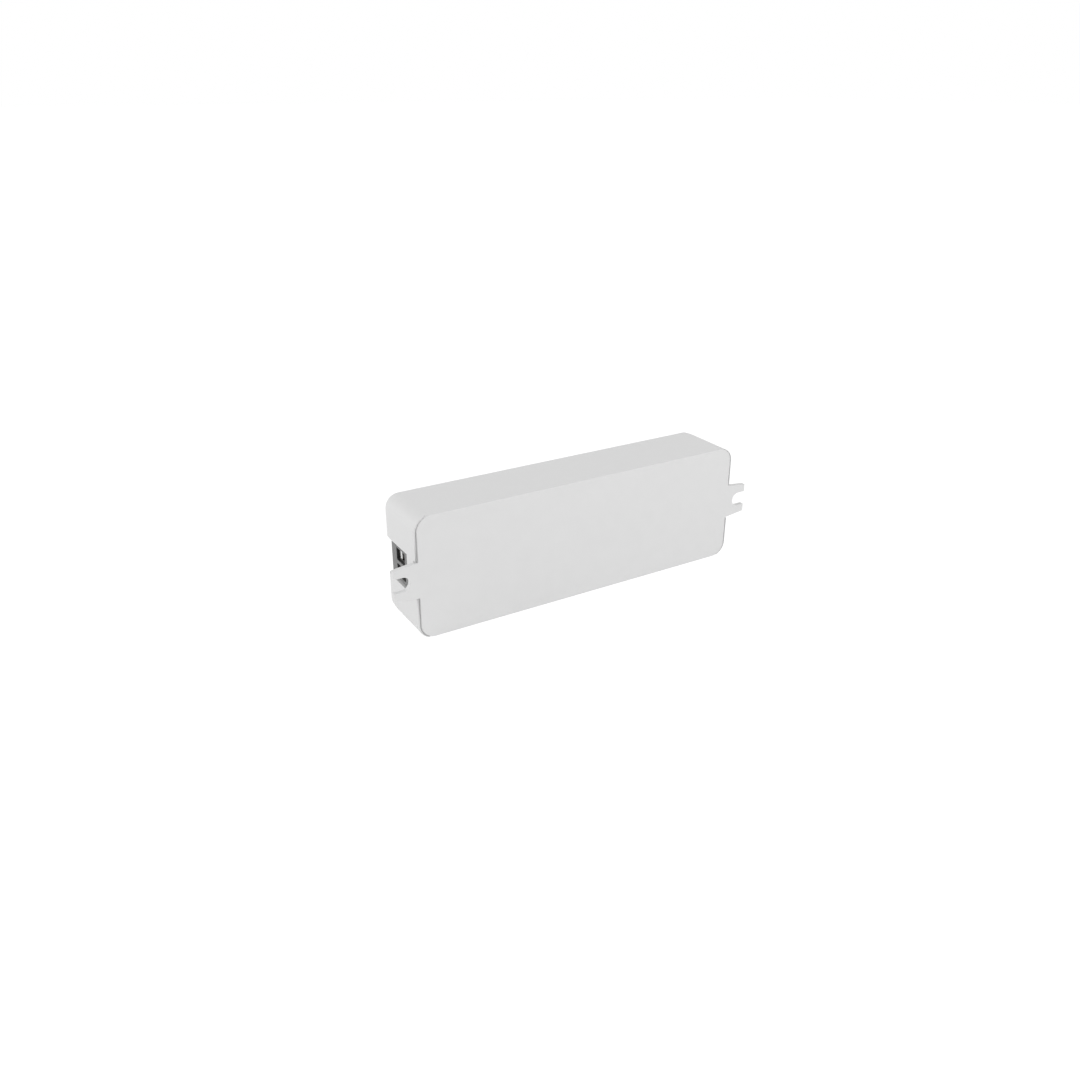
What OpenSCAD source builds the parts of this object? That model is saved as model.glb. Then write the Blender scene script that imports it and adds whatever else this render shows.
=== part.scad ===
/* [Case] */
// Length of the case without its ears
case_l = 112.5; // [102:0.5:130]
// Width of the case, its height as it stands
case_w = 38; // [34.5:0.5:48]
// Depth of the case from its back face to its front face
case_h = 21.1; // [19:0.1:25]
// Radius of the four long corners of the case
corner_r = 4.5; // [3.5:0.1:6]
// Depth of the leaning band that runs round the front edge
band_h = 3.5; // [2.5:0.1:5]
// How far that band leans inwards, in degrees
band_lean = 5; // [2:0.5:8]
// Rounding of the edge round the front face
front_r = 1.2; // [0.6:0.1:1.6]
// Thickness of the cover's side and end walls
wall = 1.6; // [1.3:0.1:2]
// Thickness of the cover's front wall
front_wall = 1.8; // [1.5:0.1:2.2]

/* [Base plate] */
// Thickness of the base plate and its ears
plate_t = 1.4; // [1.2:0.1:2]
// Height of the plate's tongue, which stands inside the cover's rim
lap = 0.7; // [0.4:0.1:1]
// Rounding of the plate's outer edge
plate_roll = 0.3; // [0.2:0.05:0.45]
// Thickness of the cover's lip, which stands outside the plate's two ends
end_lip = 0.35; // [0.3:0.05:0.6]
// Open seam between the lip at the supply end and the plate, which lies pushed to the lamp end
seam_gap = 0.4; // [0.2:0.05:0.5]
// Length of each ear beyond the end wall
ear_l = 6.75; // [6.5:0.05:10]
// Width of each ear at its root
ear_root_w = 11; // [9:0.5:14]
// Gap on both sides of each ear in the cover's rim
ear_gap = 0.45; // [0.2:0.05:0.8]
// Width of each ear at its tip
ear_tip_w = 9.4; // [8:0.2:12]
// Width of the open screw slot in each ear
slot_w = 4.5; // [3.2:0.1:5]
// Distance from the end wall to the middle of the slot's round end
slot_x = 4.1; // [4:0.05:5.5]

/* [Circuit board] */
// Thickness of the circuit board
board_t = 1.6; // [1.2:0.2:2]
// Height of the posts that carry the board
post_h = 3.1; // [2.8:0.1:4.4]
// Diameter of the posts
post_d = 5; // [4.4:0.2:6]
// Shank diameter of the board screws
screw_d = 2.2; // [2:0.1:2.6]
// Head diameter of the board screws
screw_head_d = 4.2; // [3.8:0.1:5]

/* [Terminal blocks] */
// Distance from one pole to the next
pitch = 5.08; // [4.6:0.02:5.1]
// Number of poles at the supply end
in_poles = 2; // [2:1:3]
// Number of poles at the lamp end
out_poles = 5; // [3:1:5]
// Height of the blocks above the board
block_h = 12.5; // [11.5:0.1:14]
// Depth of the blocks from the wire face to the back
block_d = 8; // [7.2:0.1:9]
// How far the wire faces stay back from the end walls
face_setback = 0.6; // [0.4:0.1:1.2]
// Width of each wire port
port_w = 4; // [3.6:0.1:4.3]
// Height of each wire port
port_h = 5.8; // [5.2:0.1:6.4]
// Diameter of the clamping screws' heads
clamp_head_d = 3.8; // [3.4:0.1:4.1]
// Gap between a block and the cut-out round it
bay_gap = 0.88; // [0.6:0.02:1.1]

/* [Key and lamp] */
// Diameter of the learning key
key_d = 4; // [3.4:0.1:5]
// Travel of the learning key
key_travel = 0.3; // [0.2:0.05:0.4]
// How far the key's face lies below the front face
key_sink = 0.3; // [0.1:0.05:0.6]
// Place of the key along the case
key_x = 16; // [14.5:0.5:17]
// Distance of the key and the light pipe from the middle line
key_y = 10; // [9:0.5:11]
// Diameter of the light pipe
pipe_d = 2; // [1.6:0.1:2.4]
// Place of the light pipe along the case
pipe_x = 3; // [0:0.5:6]

/* [Hidden] */
$fn = 48;

shell_white = [0.88, 0.88, 0.88];
block_grey = [0.55, 0.55, 0.55];
nickel = [0.80, 0.80, 0.79];
tin = [0.72, 0.73, 0.74];
mould_black = [0.09, 0.09, 0.10];

// Clearance between pieces that are fitted together
fit = 0.1;
// Clearance round a shaft that turns or slides in its hole
run_fit = 0.06;
// Overshoot of cuts, so that no skin is left
over = 1;

// Levels above the back face
rim_z = plate_t - lap;
board_z = plate_t + post_h;
board_top = board_z + board_t;
front_in = case_h - front_wall;
notch_z = board_top - fit;
cavity_r = corner_r - wall;
cavity_roll = 0.6;

// The cover's lip has a rolled edge and stops short of the long sides
lip_roll = 0.25;
lip_stop = 0.3;

// Circuit board, its margins inside the cover and its posts
board_gap_x = 0.35;
board_gap_y = 0.6;
board_l = case_l - 2 * (wall + board_gap_x);
board_w = case_w - 2 * (wall + board_gap_y);
board_r = cavity_r - 0.4;
post_in_x = 5;
post_out_x = 12;
post_in_y = 4;
post_y = board_w / 2 - post_in_y;
post_places = [
    for (x = [board_l / 2 - post_in_x, post_out_x - board_l / 2], s = [-1, 1]) [x, s * post_y]
];
screw_bite = 2.6;
screw_head_h = 1.5;
screw_head_roll = 0.5;
recess_l = 2.2;
recess_w = 0.5;
recess_d = 0.8;
screw_hole_play = 0.2;

// Snap hooks of the plate and their catches in the cover
hook_x = 25;
hook_w = 6;
hook_t = 1.2;
hook_stand = 3.6;
hook_top = board_top + hook_stand;
hook_gap = 0.7;
hook_out = case_w / 2 - wall - hook_gap;
barb = hook_gap - 0.15;
barb_h = 1.2;
barb_edge = 0.3;
hook_room = 0.3;
catch_h = 1;
catch_top = hook_top - barb_h - 0.05;

// Terminal blocks, measured in from the wire face and up from the board
floor_t = 2.9;
block_bevel = 0.5;
block_slope_x = 1.8;
block_slope_z = 3;
port_r = 0.4;
well_play = 0.1;
groove_w = 0.3;
groove_d = 0.4;
cage_x = 0.7;
cage_d = 4.4;
cage_w = port_w - 2 * fit;
cage_h = port_h - 0.4;
cage_wall = 0.6;
cage_lid = 0.8;
cage_r = 0.7;
cage_in_r = 0.2;
cage_z = floor_t + fit;
clamp_x = cage_x + cage_d / 2;
clamp_d = 2.9;
clamp_head_h = 1.9;
clamp_sink = 0.5;
clamp_head_z = block_h - clamp_sink - clamp_head_h;
clamp_slot_w = 0.7;
clamp_slot_d = 0.8;
bar_t = 1.2;
bar_w = cage_w - 2 * cage_wall - 2 * fit;
bar_z = cage_z + cage_h - cage_lid - bar_t - fit;
pin_l = 0.8;
pin_w = 1;
pin_x = cage_x + cage_d + 0.2 + pin_l / 2;
pin_hole_r = norm([pin_l, pin_w]) / 2 + 0.06;
pin_end = 1.6;
port_depth = pin_x + pin_l / 2 + 0.2;
bay_d = face_setback + block_d + 0.3;
bay_rib = 1;
bay_rib_lift = 3;
bay_rib_z = board_top + bay_rib_lift;
joint_r = 1.4;
joint_tip_r = 0.75;
joint_h = 0.9;

// Learning key, its switch, and the lamp with its light pipe
switch_w = 6;
switch_h = 3.5;
switch_r = 0.4;
frame_t = 0.3;
plunger_d = 3.5;
plunger_grip = 1.3;
plunger_z = board_top + switch_h - plunger_grip;
plunger_top = front_in - 2.1;
leg_r = 0.35;
leg_rise = 1.5;
leg_x = switch_w / 2 + leg_r + 0.05;
leg_y = 2.25;
leg_places = [for (s = [-1, 1], t = [-1, 1]) [key_x + s * leg_x, -key_y + t * leg_y]];
key_flange = 0.8;
key_flange_t = 0.8;
key_rest = 0.05;
collar_play = 0.3;
collar_wall = 0.8;
collar_h = 1.6;
collar_r = key_d / 2 + key_flange + collar_play;
lamp_l = 2;
lamp_w = 1.2;
lamp_base_h = 0.5;
lamp_h = 1.1;
pipe_gap = 0.2;
pipe_flange = 0.6;
pipe_flange_t = 1;
pipe_collar_r = pipe_d / 2 + pipe_flange + run_fit;

// Hold-down posts inside the cover
press_d = 3.4;
press_places = [[-12, -9.5], [12, 10]];

// Bulk capacitor
cap_in = 19;
cap_x = case_l / 2 - cap_in;
cap_d = 8;
cap_room = 1.1;
cap_lift = 0.6;
cap_h = front_in - cap_room - board_top - cap_lift;
cap_roll = 0.4;
crimp_z = 1.7;
crimp_r = 0.6;
crimp_d = 0.35;
bung_rim = 0.5;
bung_h = 1;
vent_l = 5.2;
vent_w = 0.3;
vent_d = 0.15;
sleeve_t = 0.15;
sleeve_lip = 1;
lead_r = 0.3;
lead_hole_r = 0.5;
lead_y = 1.75;
lead_end = 1.2;
lead_places = [[cap_x, lead_y], [cap_x, -lead_y]];

// Step-down supply: choke and regulator
coil_in = 28.5;
coil_x = case_l / 2 - coil_in;
coil_d = 5.8;
coil_h = 4.4;
coil_foot_h = 1;
coil_head_h = 0.9;
coil_waist = 1.2;
wound_d = 0.5;
reg_l = 4.9;
reg_y = 8;

// Fuse and diodes
fuse_in = 13;
fuse_x = case_l / 2 - fuse_in;
fuse_y = 9;
fuse_l = 6.1;
fuse_w = 2.7;
fuse_cap_l = 1;
fuse_cap_t = 0.05;
diode_l = 4.3;
diode_w = 2.6;
diode_h = 2;
diode_lift = 0.2;
diode_leg_w = 1.5;
diode_leg_z = 1;
diode_leg_out = 0.4;
diode_leg_under = 0.9;
diode_places = [[fuse_x, -9.5], [coil_x, -5.5]];

// Flat chips with bent legs
chip_w = 3.9;
chip_h = 1.4;
chip_lift = 0.15;
chip_waist = 0.45;
chip_top_in = 0.25;
chip_foot_in = 0.15;
chip_step = 1.27;
chip_leg_w = 0.4;
chip_leg_t = 0.2;
chip_leg_bend = 0.5;
chip_leg_reach = 1.1;
mcu_x = 5.5;
mcu_y = 4;
mcu_l = 9.9;
reg_legs = 4;
mcu_legs = 7;

// Switching transistors, soldered down by their tabs
fet_in = 22.5;
fet_x = fet_in - case_l / 2;
fet_count = 4;
fet_pitch = 7;
fet_w = 6.6;
fet_l = 6.1;
fet_h = 2.3;
fet_lift = 0.1;
tab_t = 0.5;
tab_out = 1.4;
tab_side = 0.6;
tab_play = 0.1;
fet_leg_y = 2.28;
fet_leg_w = 0.7;
fet_leg_z = 0.9;
fet_leg_t = 0.5;
fet_leg_bend = 1.4;
fet_leg_reach = 2.6;

// Radio board
radio_x = -9.5;
radio_y = 7.5;
radio_l = 16;
radio_w = 12;
radio_t = 0.8;
radio_chip_l = 4;
radio_chip_h = 0.9;
radio_chip_x = 3;
radio_chip_y = -2;
crystal_l = 3.2;
crystal_w = 2.5;
crystal_h = 0.8;
crystal_r = 0.4;
crystal_y = 3;
trace_t = 0.1;
trace_w = 0.5;
trace_step = 1.1;
trace_run = 8;
trace_folds = 5;
trace_edge = 1;

// Small resistors and capacitors
small_l = 2;
small_w = 1.25;
small_h = 0.6;
small_cap = 0.35;
small_tall = 2;
resistor_places = concat(
    [for (i = [0:fet_count - 1]) [fet_x + 8, (i - (fet_count - 1) / 2) * fet_pitch]],
    [for (i = [0:3]) [-6 + 4 * i, -4]],
    [[pipe_x + 4, 3 - key_y], [key_x - 6, -key_y]]
);
capacitor_places = [[mcu_x + 8, mcu_y], [coil_x - 6, 4], [coil_x - 6, 1], [radio_x - 2, -3], [cap_x - 0.5, 8]];

// The flat frame has its back face at z = 0, and this stands it on its long side
module stand() {
    translate([0, case_h / 2, case_w / 2]) rotate([90, 0, 0]) children();
}

// What lies on the board's top face
module on_board(x = 0, y = 0) {
    translate([x, y, board_top]) children();
}

// Copies at each place of a list
module at_each(places) {
    for (p = places) translate([p[0], p[1], 0]) children();
}

// Copies at the supply end and, turned round, at the lamp end
module at_both_ends() {
    for (a = [0, 180]) rotate([0, 0, a]) children();
}

// Box that stands on its level, centred along x and y
module slab(l, w, h, z = 0) {
    translate([-l / 2, -w / 2, z]) cube([l, w, h]);
}

// Rounded rectangle about the origin
module rounded_outline(l, w, r) {
    square([l - 2 * r, w], center = true);
    square([l, w - 2 * r], center = true);
    for (s = [-1, 1], t = [-1, 1]) translate([s * (l / 2 - r), t * (w / 2 - r)]) circle(r);
}

// Upright half section that starts at the axis, with its top corner rounded by f
module rolled_section(reach, h, f) {
    square([reach, h - f]);
    square([reach - f, h]);
    translate([reach - f, h - f]) circle(f);
}

// Half section of the cover's outside: a rolled rim, and a side that leans in before its rolled front corner
module leaning_section(reach, h, f) {
    drawn_in = tan(band_lean) * (band_h - f + f * sin(band_lean));
    middle = reach - drawn_in - f * cos(band_lean);
    polygon([
        [0, 0], [reach - lip_roll, 0], [reach, lip_roll], [reach, h - band_h],
        [reach - drawn_in, h - f + f * sin(band_lean)], [middle, h], [0, h]
    ]);
    translate([reach - lip_roll, lip_roll]) circle(lip_roll);
    translate([middle, h - f]) circle(f);
}

// Block with rounded long corners, whose half section of reach r is given as a child
module rounded_block(l, w, h, r) {
    x = l / 2 - r;
    y = w / 2 - r;
    slab(2 * x, 2 * y, h);
    at_both_ends() {
        translate([x, y, 0]) rotate_extrude(angle = 90) children();
        translate([-x, y, 0]) rotate([0, 0, 90]) rotate_extrude(angle = 90) children();
        translate([x, y, 0]) rotate([90, 0, 0]) linear_extrude(2 * y) children();
        translate([-x, y, 0]) rotate([90, 0, 90]) linear_extrude(2 * x) children();
    }
}

// Side outline of a leg that leaves its body at a level, bends down and runs out along the board
function bent_leg(level, bend, reach, t) = [
    [0, level], [bend - t, level], [bend, 0], [reach, 0],
    [reach, t], [bend + t, t], [bend, level + t], [0, level + t]
];

// Side outline of a leg that bends down and turns back under its body
function tucked_leg(level, out, under, t) = [
    [0, level], [out - t, level], [out - t, t], [-under, t],
    [-under, 0], [out, 0], [out, level + t], [0, level + t]
];

// Open ear with its screw slot, outwards along x from the end wall
module ear() {
    root = -wall;
    linear_extrude(plate_t) difference() {
        polygon([
            [root, -ear_root_w / 2], [0, -ear_root_w / 2], [ear_l, -ear_tip_w / 2],
            [ear_l, ear_tip_w / 2], [0, ear_root_w / 2], [root, ear_root_w / 2]
        ]);
        translate([slot_x, 0]) circle(slot_w / 2);
        translate([slot_x, -slot_w / 2]) square([ear_l, slot_w]);
    }
}

// Snap hook with its barb towards +y and its outer face at y = 0
module snap_hook() {
    barb_z = hook_top - barb_h;
    translate([hook_w / 2, 0, 0]) rotate([90, 0, -90]) linear_extrude(hook_w) polygon([
        [0, rim_z], [0, barb_z], [-barb, barb_z], [-barb, barb_z + barb_edge],
        [hook_t / 3, hook_top], [hook_t, hook_top], [hook_t, rim_z]
    ]);
}

module base_plate() {
    l = case_l - 2 * end_lip - seam_gap - fit;
    color(shell_white) stand() difference() {
        union() {
            translate([(fit - seam_gap) / 2, 0, rim_z]) mirror([0, 0, 1])
                rounded_block(l, case_w, rim_z, corner_r) rolled_section(corner_r, rim_z, plate_roll);
            linear_extrude(plate_t)
                rounded_outline(case_l - 2 * (wall + fit), case_w - 2 * (wall + fit), cavity_r);
            at_both_ends() translate([case_l / 2, 0, 0]) ear();
            at_each(post_places) cylinder(d = post_d, h = board_z);
            at_both_ends() at_each([[-hook_x, hook_out], [hook_x, hook_out]]) snap_hook();
        }
        at_each(post_places) translate([0, 0, plate_t]) cylinder(d = screw_d + 2 * run_fit, h = board_z);
    }
}

// Outside width of a block's cut-out in the cover
function bay_w(poles) = poles * pitch + 2 * bay_gap;

// Cut-out for a terminal block through the end wall and the front wall
module bay_cut(poles) {
    translate([case_l / 2 - bay_d, -bay_w(poles) / 2, notch_z]) cube([bay_d + over, bay_w(poles), case_h]);
}

// Rib round the cut-out, inside the case
module bay_ribs(poles) {
    w = bay_w(poles) + 2 * bay_rib;
    translate([case_l / 2 - bay_d - bay_rib, -w / 2, bay_rib_z])
        cube([bay_d + bay_rib - wall / 2, w, front_in - bay_rib_z + front_wall / 2]);
}

// Notch in the supply end's rim, which the ear passes through
module ear_notch() {
    w = ear_root_w + 2 * ear_gap;
    translate([case_l / 2 - wall - over, -w / 2, -over]) cube([wall + 2 * over, w, plate_t + fit + over]);
}

// Bed that the plate's rim lies in, open at the long sides
module plate_bed() {
    rounded_outline(case_l - 2 * end_lip, case_w, corner_r);
    square([case_l - 2 * corner_r, case_w + 2 * over], center = true);
    for (s = [-1, 1]) translate([0, s * (case_w / 2 - lip_stop + over)])
        square([case_l + 2 * over, 2 * over], center = true);
}

// Deep shell with its end lips and its rolled front edge
module cover_shell() {
    inner_h = front_in - rim_z + over;
    difference() {
        rounded_block(case_l, case_w, case_h, corner_r) leaning_section(corner_r, case_h, front_r);
        translate([0, 0, -over]) linear_extrude(rim_z + over) plate_bed();
        translate([0, 0, rim_z - over])
            rounded_block(case_l - 2 * wall, case_w - 2 * wall, inner_h, cavity_r)
                rolled_section(cavity_r, inner_h, cavity_roll);
    }
}

// Everything that stands on the inner faces of the cover
module cover_fittings() {
    bay_ribs(in_poles);
    rotate([0, 0, 180]) bay_ribs(out_poles);
    at_each(press_places) translate([0, 0, board_top]) cylinder(d = press_d, h = front_in - board_top + front_wall / 2);
    translate([key_x, -key_y, front_in - collar_h]) cylinder(r = collar_r + collar_wall, h = collar_h + front_wall / 2);
    translate([pipe_x, -key_y, front_in - pipe_flange_t])
        cylinder(r = pipe_collar_r + collar_wall, h = pipe_flange_t + front_wall / 2);
    at_both_ends() at_each([[-hook_x, hook_out + fit], [hook_x, hook_out + fit]])
        translate([-hook_w / 2, 0, catch_top - catch_h]) cube([hook_w, hook_gap - fit + wall / 2, catch_h]);
}

module cover() {
    color(shell_white) stand() difference() {
        union() {
            cover_shell();
            cover_fittings();
        }
        bay_cut(in_poles);
        rotate([0, 0, 180]) bay_cut(out_poles);
        at_both_ends() ear_notch();
        translate([key_x, -key_y, front_in - collar_h - over]) {
            cylinder(d = key_d + 2 * run_fit, h = case_h);
            cylinder(r = collar_r, h = collar_h + over);
        }
        translate([pipe_x, -key_y, front_in - pipe_flange_t - over]) {
            cylinder(d = pipe_d + 2 * run_fit, h = case_h);
            cylinder(r = pipe_collar_r, h = pipe_flange_t + over);
        }
    }
}

// Places of a block's solder pins on the board at the supply end, and at the lamp end
function pin_places(poles) = [
    for (i = [0:poles - 1]) [case_l / 2 - face_setback - pin_x, (i - (poles - 1) / 2) * pitch]
];
all_pins = concat(pin_places(in_poles), [for (p = pin_places(out_poles)) -p]);

module circuit_board() {
    bite = board_w / 2 - hook_out + hook_t + hook_room;
    color("seagreen") stand() translate([0, 0, board_z]) linear_extrude(board_t) difference() {
        rounded_outline(board_l, board_w, board_r);
        for (s = [-1, 1], t = [-1, 1]) translate([s * hook_x, t * board_w / 2])
            square([hook_w + 4 * hook_room, 2 * bite], center = true);
        at_each(post_places) circle(d = screw_d + 2 * screw_hole_play);
        at_each(all_pins) circle(pin_hole_r);
        at_each(concat(lead_places, leg_places)) circle(lead_hole_r);
    }
}

// Half section of a pan head
module head_section() {
    flat = screw_head_d / 2 - screw_head_roll;
    square([screw_head_d / 2, screw_head_h - screw_head_roll]);
    square([flat, screw_head_h]);
    intersection() {
        translate([flat, screw_head_h - screw_head_roll]) circle(screw_head_roll);
        square(screw_head_d);
    }
}

module board_screws() {
    color(tin) stand() at_each(post_places) difference() {
        union() {
            translate([0, 0, board_z - screw_bite]) cylinder(d = screw_d, h = board_t + screw_bite);
            on_board() rotate_extrude() head_section();
        }
        for (a = [0, 90]) rotate([0, 0, a]) slab(recess_l, recess_w, over, board_top + screw_head_h - recess_d);
    }
}

// Places a block at the supply end or, turned round, at the lamp end
module at_end(turn) {
    stand() rotate([0, 0, turn]) on_board(case_l / 2 - face_setback) children();
}

// Copies for each pole, side by side
module at_poles(poles) {
    for (i = [0:poles - 1]) translate([0, (i - (poles - 1) / 2) * pitch, 0]) children();
}

// Moulded block: wire ports in its face, screw wells in its top, a sloping back
module terminal_housing(poles) {
    w = poles * pitch;
    difference() {
        translate([0, w / 2, 0]) rotate([90, 0, 0]) linear_extrude(w) polygon([
            [0, 0], [0, block_h - block_bevel], [-block_bevel, block_h], [block_slope_x - block_d, block_h],
            [-block_d, block_h - block_slope_z], [-block_d, 0]
        ]);
        at_poles(poles) {
            translate([over, 0, floor_t + port_h / 2]) rotate([90, 0, -90])
                linear_extrude(port_depth + over) rounded_outline(port_w, port_h, port_r);
            translate([-clamp_x, 0, floor_t + port_h - over])
                cylinder(d = clamp_head_d + 2 * well_play, h = block_h);
            translate([-pin_x, 0, -over]) cylinder(r = pin_hole_r, h = floor_t + 2 * over);
        }
        for (i = [1:poles - 1]) translate([-block_d / 2, (i - poles / 2) * pitch, 0])
            slab(block_d + over, groove_w, over, block_h - groove_d);
    }
}

// Folded cages with tapped lids, which the screws draw up
module terminal_cages(poles) {
    at_poles(poles) difference() {
        translate([-cage_x, 0, cage_z + cage_h / 2]) rotate([90, 0, -90]) linear_extrude(cage_d) difference() {
            rounded_outline(cage_w, cage_h, cage_r);
            translate([0, (cage_wall - cage_lid) / 2])
                rounded_outline(cage_w - 2 * cage_wall, cage_h - cage_wall - cage_lid, cage_in_r);
        }
        translate([-clamp_x, 0, cage_z + cage_h / 2]) cylinder(d = clamp_d + 2 * run_fit, h = cage_h);
    }
}

// Slotted clamping screws, standing on the contact bars
module terminal_screws(poles) {
    foot = bar_z + bar_t;
    at_poles(poles) translate([-clamp_x, 0, 0]) difference() {
        union() {
            translate([0, 0, foot]) cylinder(d = clamp_d, h = clamp_head_z - foot);
            translate([0, 0, clamp_head_z]) cylinder(d = clamp_head_d, h = clamp_head_h);
        }
        slab(clamp_head_d + over, clamp_slot_w, over, clamp_head_z + clamp_head_h - clamp_slot_d);
    }
}

// Contact bars inside the cages, bent down behind them into the solder pins
module terminal_pins(poles) {
    back = pin_x + pin_l / 2;
    at_poles(poles) {
        translate([-back, -bar_w / 2, bar_z]) cube([back - cage_x, bar_w, bar_t]);
        translate([-pin_x, 0, 0]) {
            slab(pin_l, bar_w, bar_z + bar_t - floor_t, floor_t);
            slab(pin_l, pin_w, floor_t + board_t + pin_end, -board_t - pin_end);
        }
    }
}

module input_terminal_housing() { color(block_grey) at_end(0) terminal_housing(in_poles); }
module input_terminal_cages() { color(nickel) at_end(0) terminal_cages(in_poles); }
module input_terminal_screws() { color(nickel) at_end(0) terminal_screws(in_poles); }
module input_terminal_pins() { color(tin) at_end(0) terminal_pins(in_poles); }
module output_terminal_housing() { color(block_grey) at_end(180) terminal_housing(out_poles); }
module output_terminal_cages() { color(nickel) at_end(180) terminal_cages(out_poles); }
module output_terminal_screws() { color(nickel) at_end(180) terminal_screws(out_poles); }
module output_terminal_pins() { color(tin) at_end(180) terminal_pins(out_poles); }

// Solder cones under the board round the blocks' pins
module solder_joints() {
    color(tin) stand() difference() {
        at_each(all_pins) translate([0, 0, board_z - joint_h])
            rotate_extrude() polygon([[0, 0], [joint_tip_r, 0], [joint_r, joint_h], [0, joint_h]]);
        at_each(all_pins) slab(pin_l, pin_w, board_top);
    }
}

module learning_key() {
    color(shell_white) stand() translate([key_x, -key_y, 0]) {
        translate([0, 0, plunger_top]) cylinder(d = key_d, h = case_h - key_sink - plunger_top);
        translate([0, 0, front_in - key_rest - key_flange_t]) cylinder(r = key_d / 2 + key_flange, h = key_flange_t);
    }
}

module switch_plunger() {
    color(mould_black) stand() translate([key_x, -key_y, plunger_z])
        cylinder(d = plunger_d, h = plunger_top - plunger_z);
}

module switch_housing() {
    color(mould_black) stand() difference() {
        on_board(key_x, -key_y) linear_extrude(switch_h) rounded_outline(switch_w, switch_w, switch_r);
        translate([key_x, -key_y, plunger_z - 2 * key_travel]) cylinder(d = plunger_d + 2 * run_fit, h = switch_h);
    }
}

module switch_frame() {
    color(tin) stand() on_board(key_x, -key_y) translate([0, 0, switch_h]) linear_extrude(frame_t) difference() {
        rounded_outline(switch_w, switch_w, switch_r);
        circle(d = plunger_d + 2 * run_fit);
    }
}

module switch_legs() {
    color(tin) stand() at_each(leg_places) translate([0, 0, board_z - lead_end])
        cylinder(r = leg_r, h = lead_end + board_t + leg_rise);
}

module light_pipe() {
    foot = board_top + lamp_h + pipe_gap;
    color("white", 0.6) stand() translate([pipe_x, -key_y, 0]) {
        translate([0, 0, foot]) cylinder(d = pipe_d, h = case_h - foot);
        translate([0, 0, front_in - pipe_flange_t]) cylinder(r = pipe_d / 2 + pipe_flange, h = pipe_flange_t);
    }
}

module run_lamp() {
    color("ivory") stand() on_board(pipe_x, -key_y) {
        slab(lamp_l, lamp_w, lamp_base_h);
        slab(lamp_w, lamp_w, lamp_h);
    }
}

// Copies for the switching transistors
module at_transistors() {
    stand() for (i = [0:fet_count - 1]) on_board(fet_x, (i - (fet_count - 1) / 2) * fet_pitch) children();
}

// Moulded bodies, cut out below over their tabs
module transistor_bodies() {
    color(mould_black) at_transistors() difference() {
        slab(fet_l, fet_w, fet_h - fet_lift, fet_lift);
        translate([-tab_side, 0, 0])
            slab(fet_l, fet_w - 2 * (tab_side - tab_play), tab_t + tab_play);
    }
}

module transistor_tabs() {
    color(tin) at_transistors() translate([-tab_side - tab_play - tab_out / 2, 0, 0])
        slab(fet_l - 2 * tab_play + tab_out - tab_side, fet_w - 2 * tab_side, tab_t);
}

module transistor_legs() {
    color(tin) at_transistors() for (s = [-1, 1])
        translate([fet_l / 2, s * fet_leg_y + fet_leg_w / 2, 0]) rotate([90, 0, 0]) linear_extrude(fet_leg_w)
            polygon(bent_leg(fet_leg_z, fet_leg_bend, fet_leg_reach, fet_leg_t));
}

// Half section of the bulk capacitor's can, crimped over its bung
module can_section() {
    r = cap_d / 2;
    difference() {
        rolled_section(r, cap_h, cap_roll);
        translate([r + crimp_r - crimp_d, crimp_z]) circle(crimp_r);
        square([r - bung_rim, bung_h]);
    }
}

// What is measured up from the underside of the capacitor's can
module at_capacitor() {
    stand() translate([cap_x, 0, board_top + cap_lift]) children();
}

module capacitor_can() {
    color("silver") at_capacitor() difference() {
        rotate_extrude() can_section();
        for (a = [45, 135]) rotate([0, 0, a]) slab(vent_l, vent_w, over, cap_h - vent_d);
    }
}

module capacitor_sleeve() {
    color([0.13, 0.16, 0.22]) at_capacitor() rotate_extrude() {
        translate([cap_d / 2, 0]) square([sleeve_t, cap_h]);
        translate([cap_d / 2 - sleeve_lip, cap_h]) square([sleeve_lip + sleeve_t, sleeve_t]);
    }
}

module capacitor_bung() {
    color(mould_black) at_capacitor() difference() {
        translate([0, 0, -cap_lift]) cylinder(r = cap_d / 2 - bung_rim, h = cap_lift + bung_h);
        for (s = [-1, 1]) translate([0, s * lead_y, -over]) cylinder(r = lead_r + run_fit, h = bung_h + 2 * over);
    }
}

module capacitor_legs() {
    color(tin) stand() at_each(lead_places) translate([0, 0, board_z - lead_end])
        cylinder(r = lead_r, h = lead_end + board_t + cap_lift + bung_h);
}

// Ferrite drum of the choke
module inductor_core() {
    color([0.20, 0.20, 0.21]) stand() on_board(coil_x) rotate_extrude() {
        square([coil_d / 2, coil_foot_h]);
        translate([0, coil_h - coil_head_h]) square([coil_d / 2, coil_head_h]);
        square([coil_d / 2 - coil_waist, coil_h]);
    }
}

// Winding in the drum's waist, with one ridge for each turn of its outer layer
module inductor_winding() {
    turns = 6;
    wound_h = coil_h - coil_foot_h - coil_head_h;
    turn_d = wound_h / turns;
    inner = coil_d / 2 - coil_waist;
    color("peru") stand() on_board(coil_x) rotate_extrude() translate([inner, coil_foot_h]) {
        square([wound_d, wound_h]);
        for (i = [0:turns - 1]) translate([wound_d, (i + 0.5) * turn_d]) circle(turn_d / 2);
    }
}

// Moulded body of a flat chip, drafted above and below its parting line
module chip_body(l) {
    parting = chip_h * chip_waist;
    half = chip_w / 2;
    translate([-l / 2, 0, chip_lift]) rotate([90, 0, 90]) linear_extrude(l) polygon([
        [chip_foot_in - half, 0], [-half, parting], [chip_top_in - half, chip_h],
        [half - chip_top_in, chip_h], [half, parting], [half - chip_foot_in, 0]
    ]);
}

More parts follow.
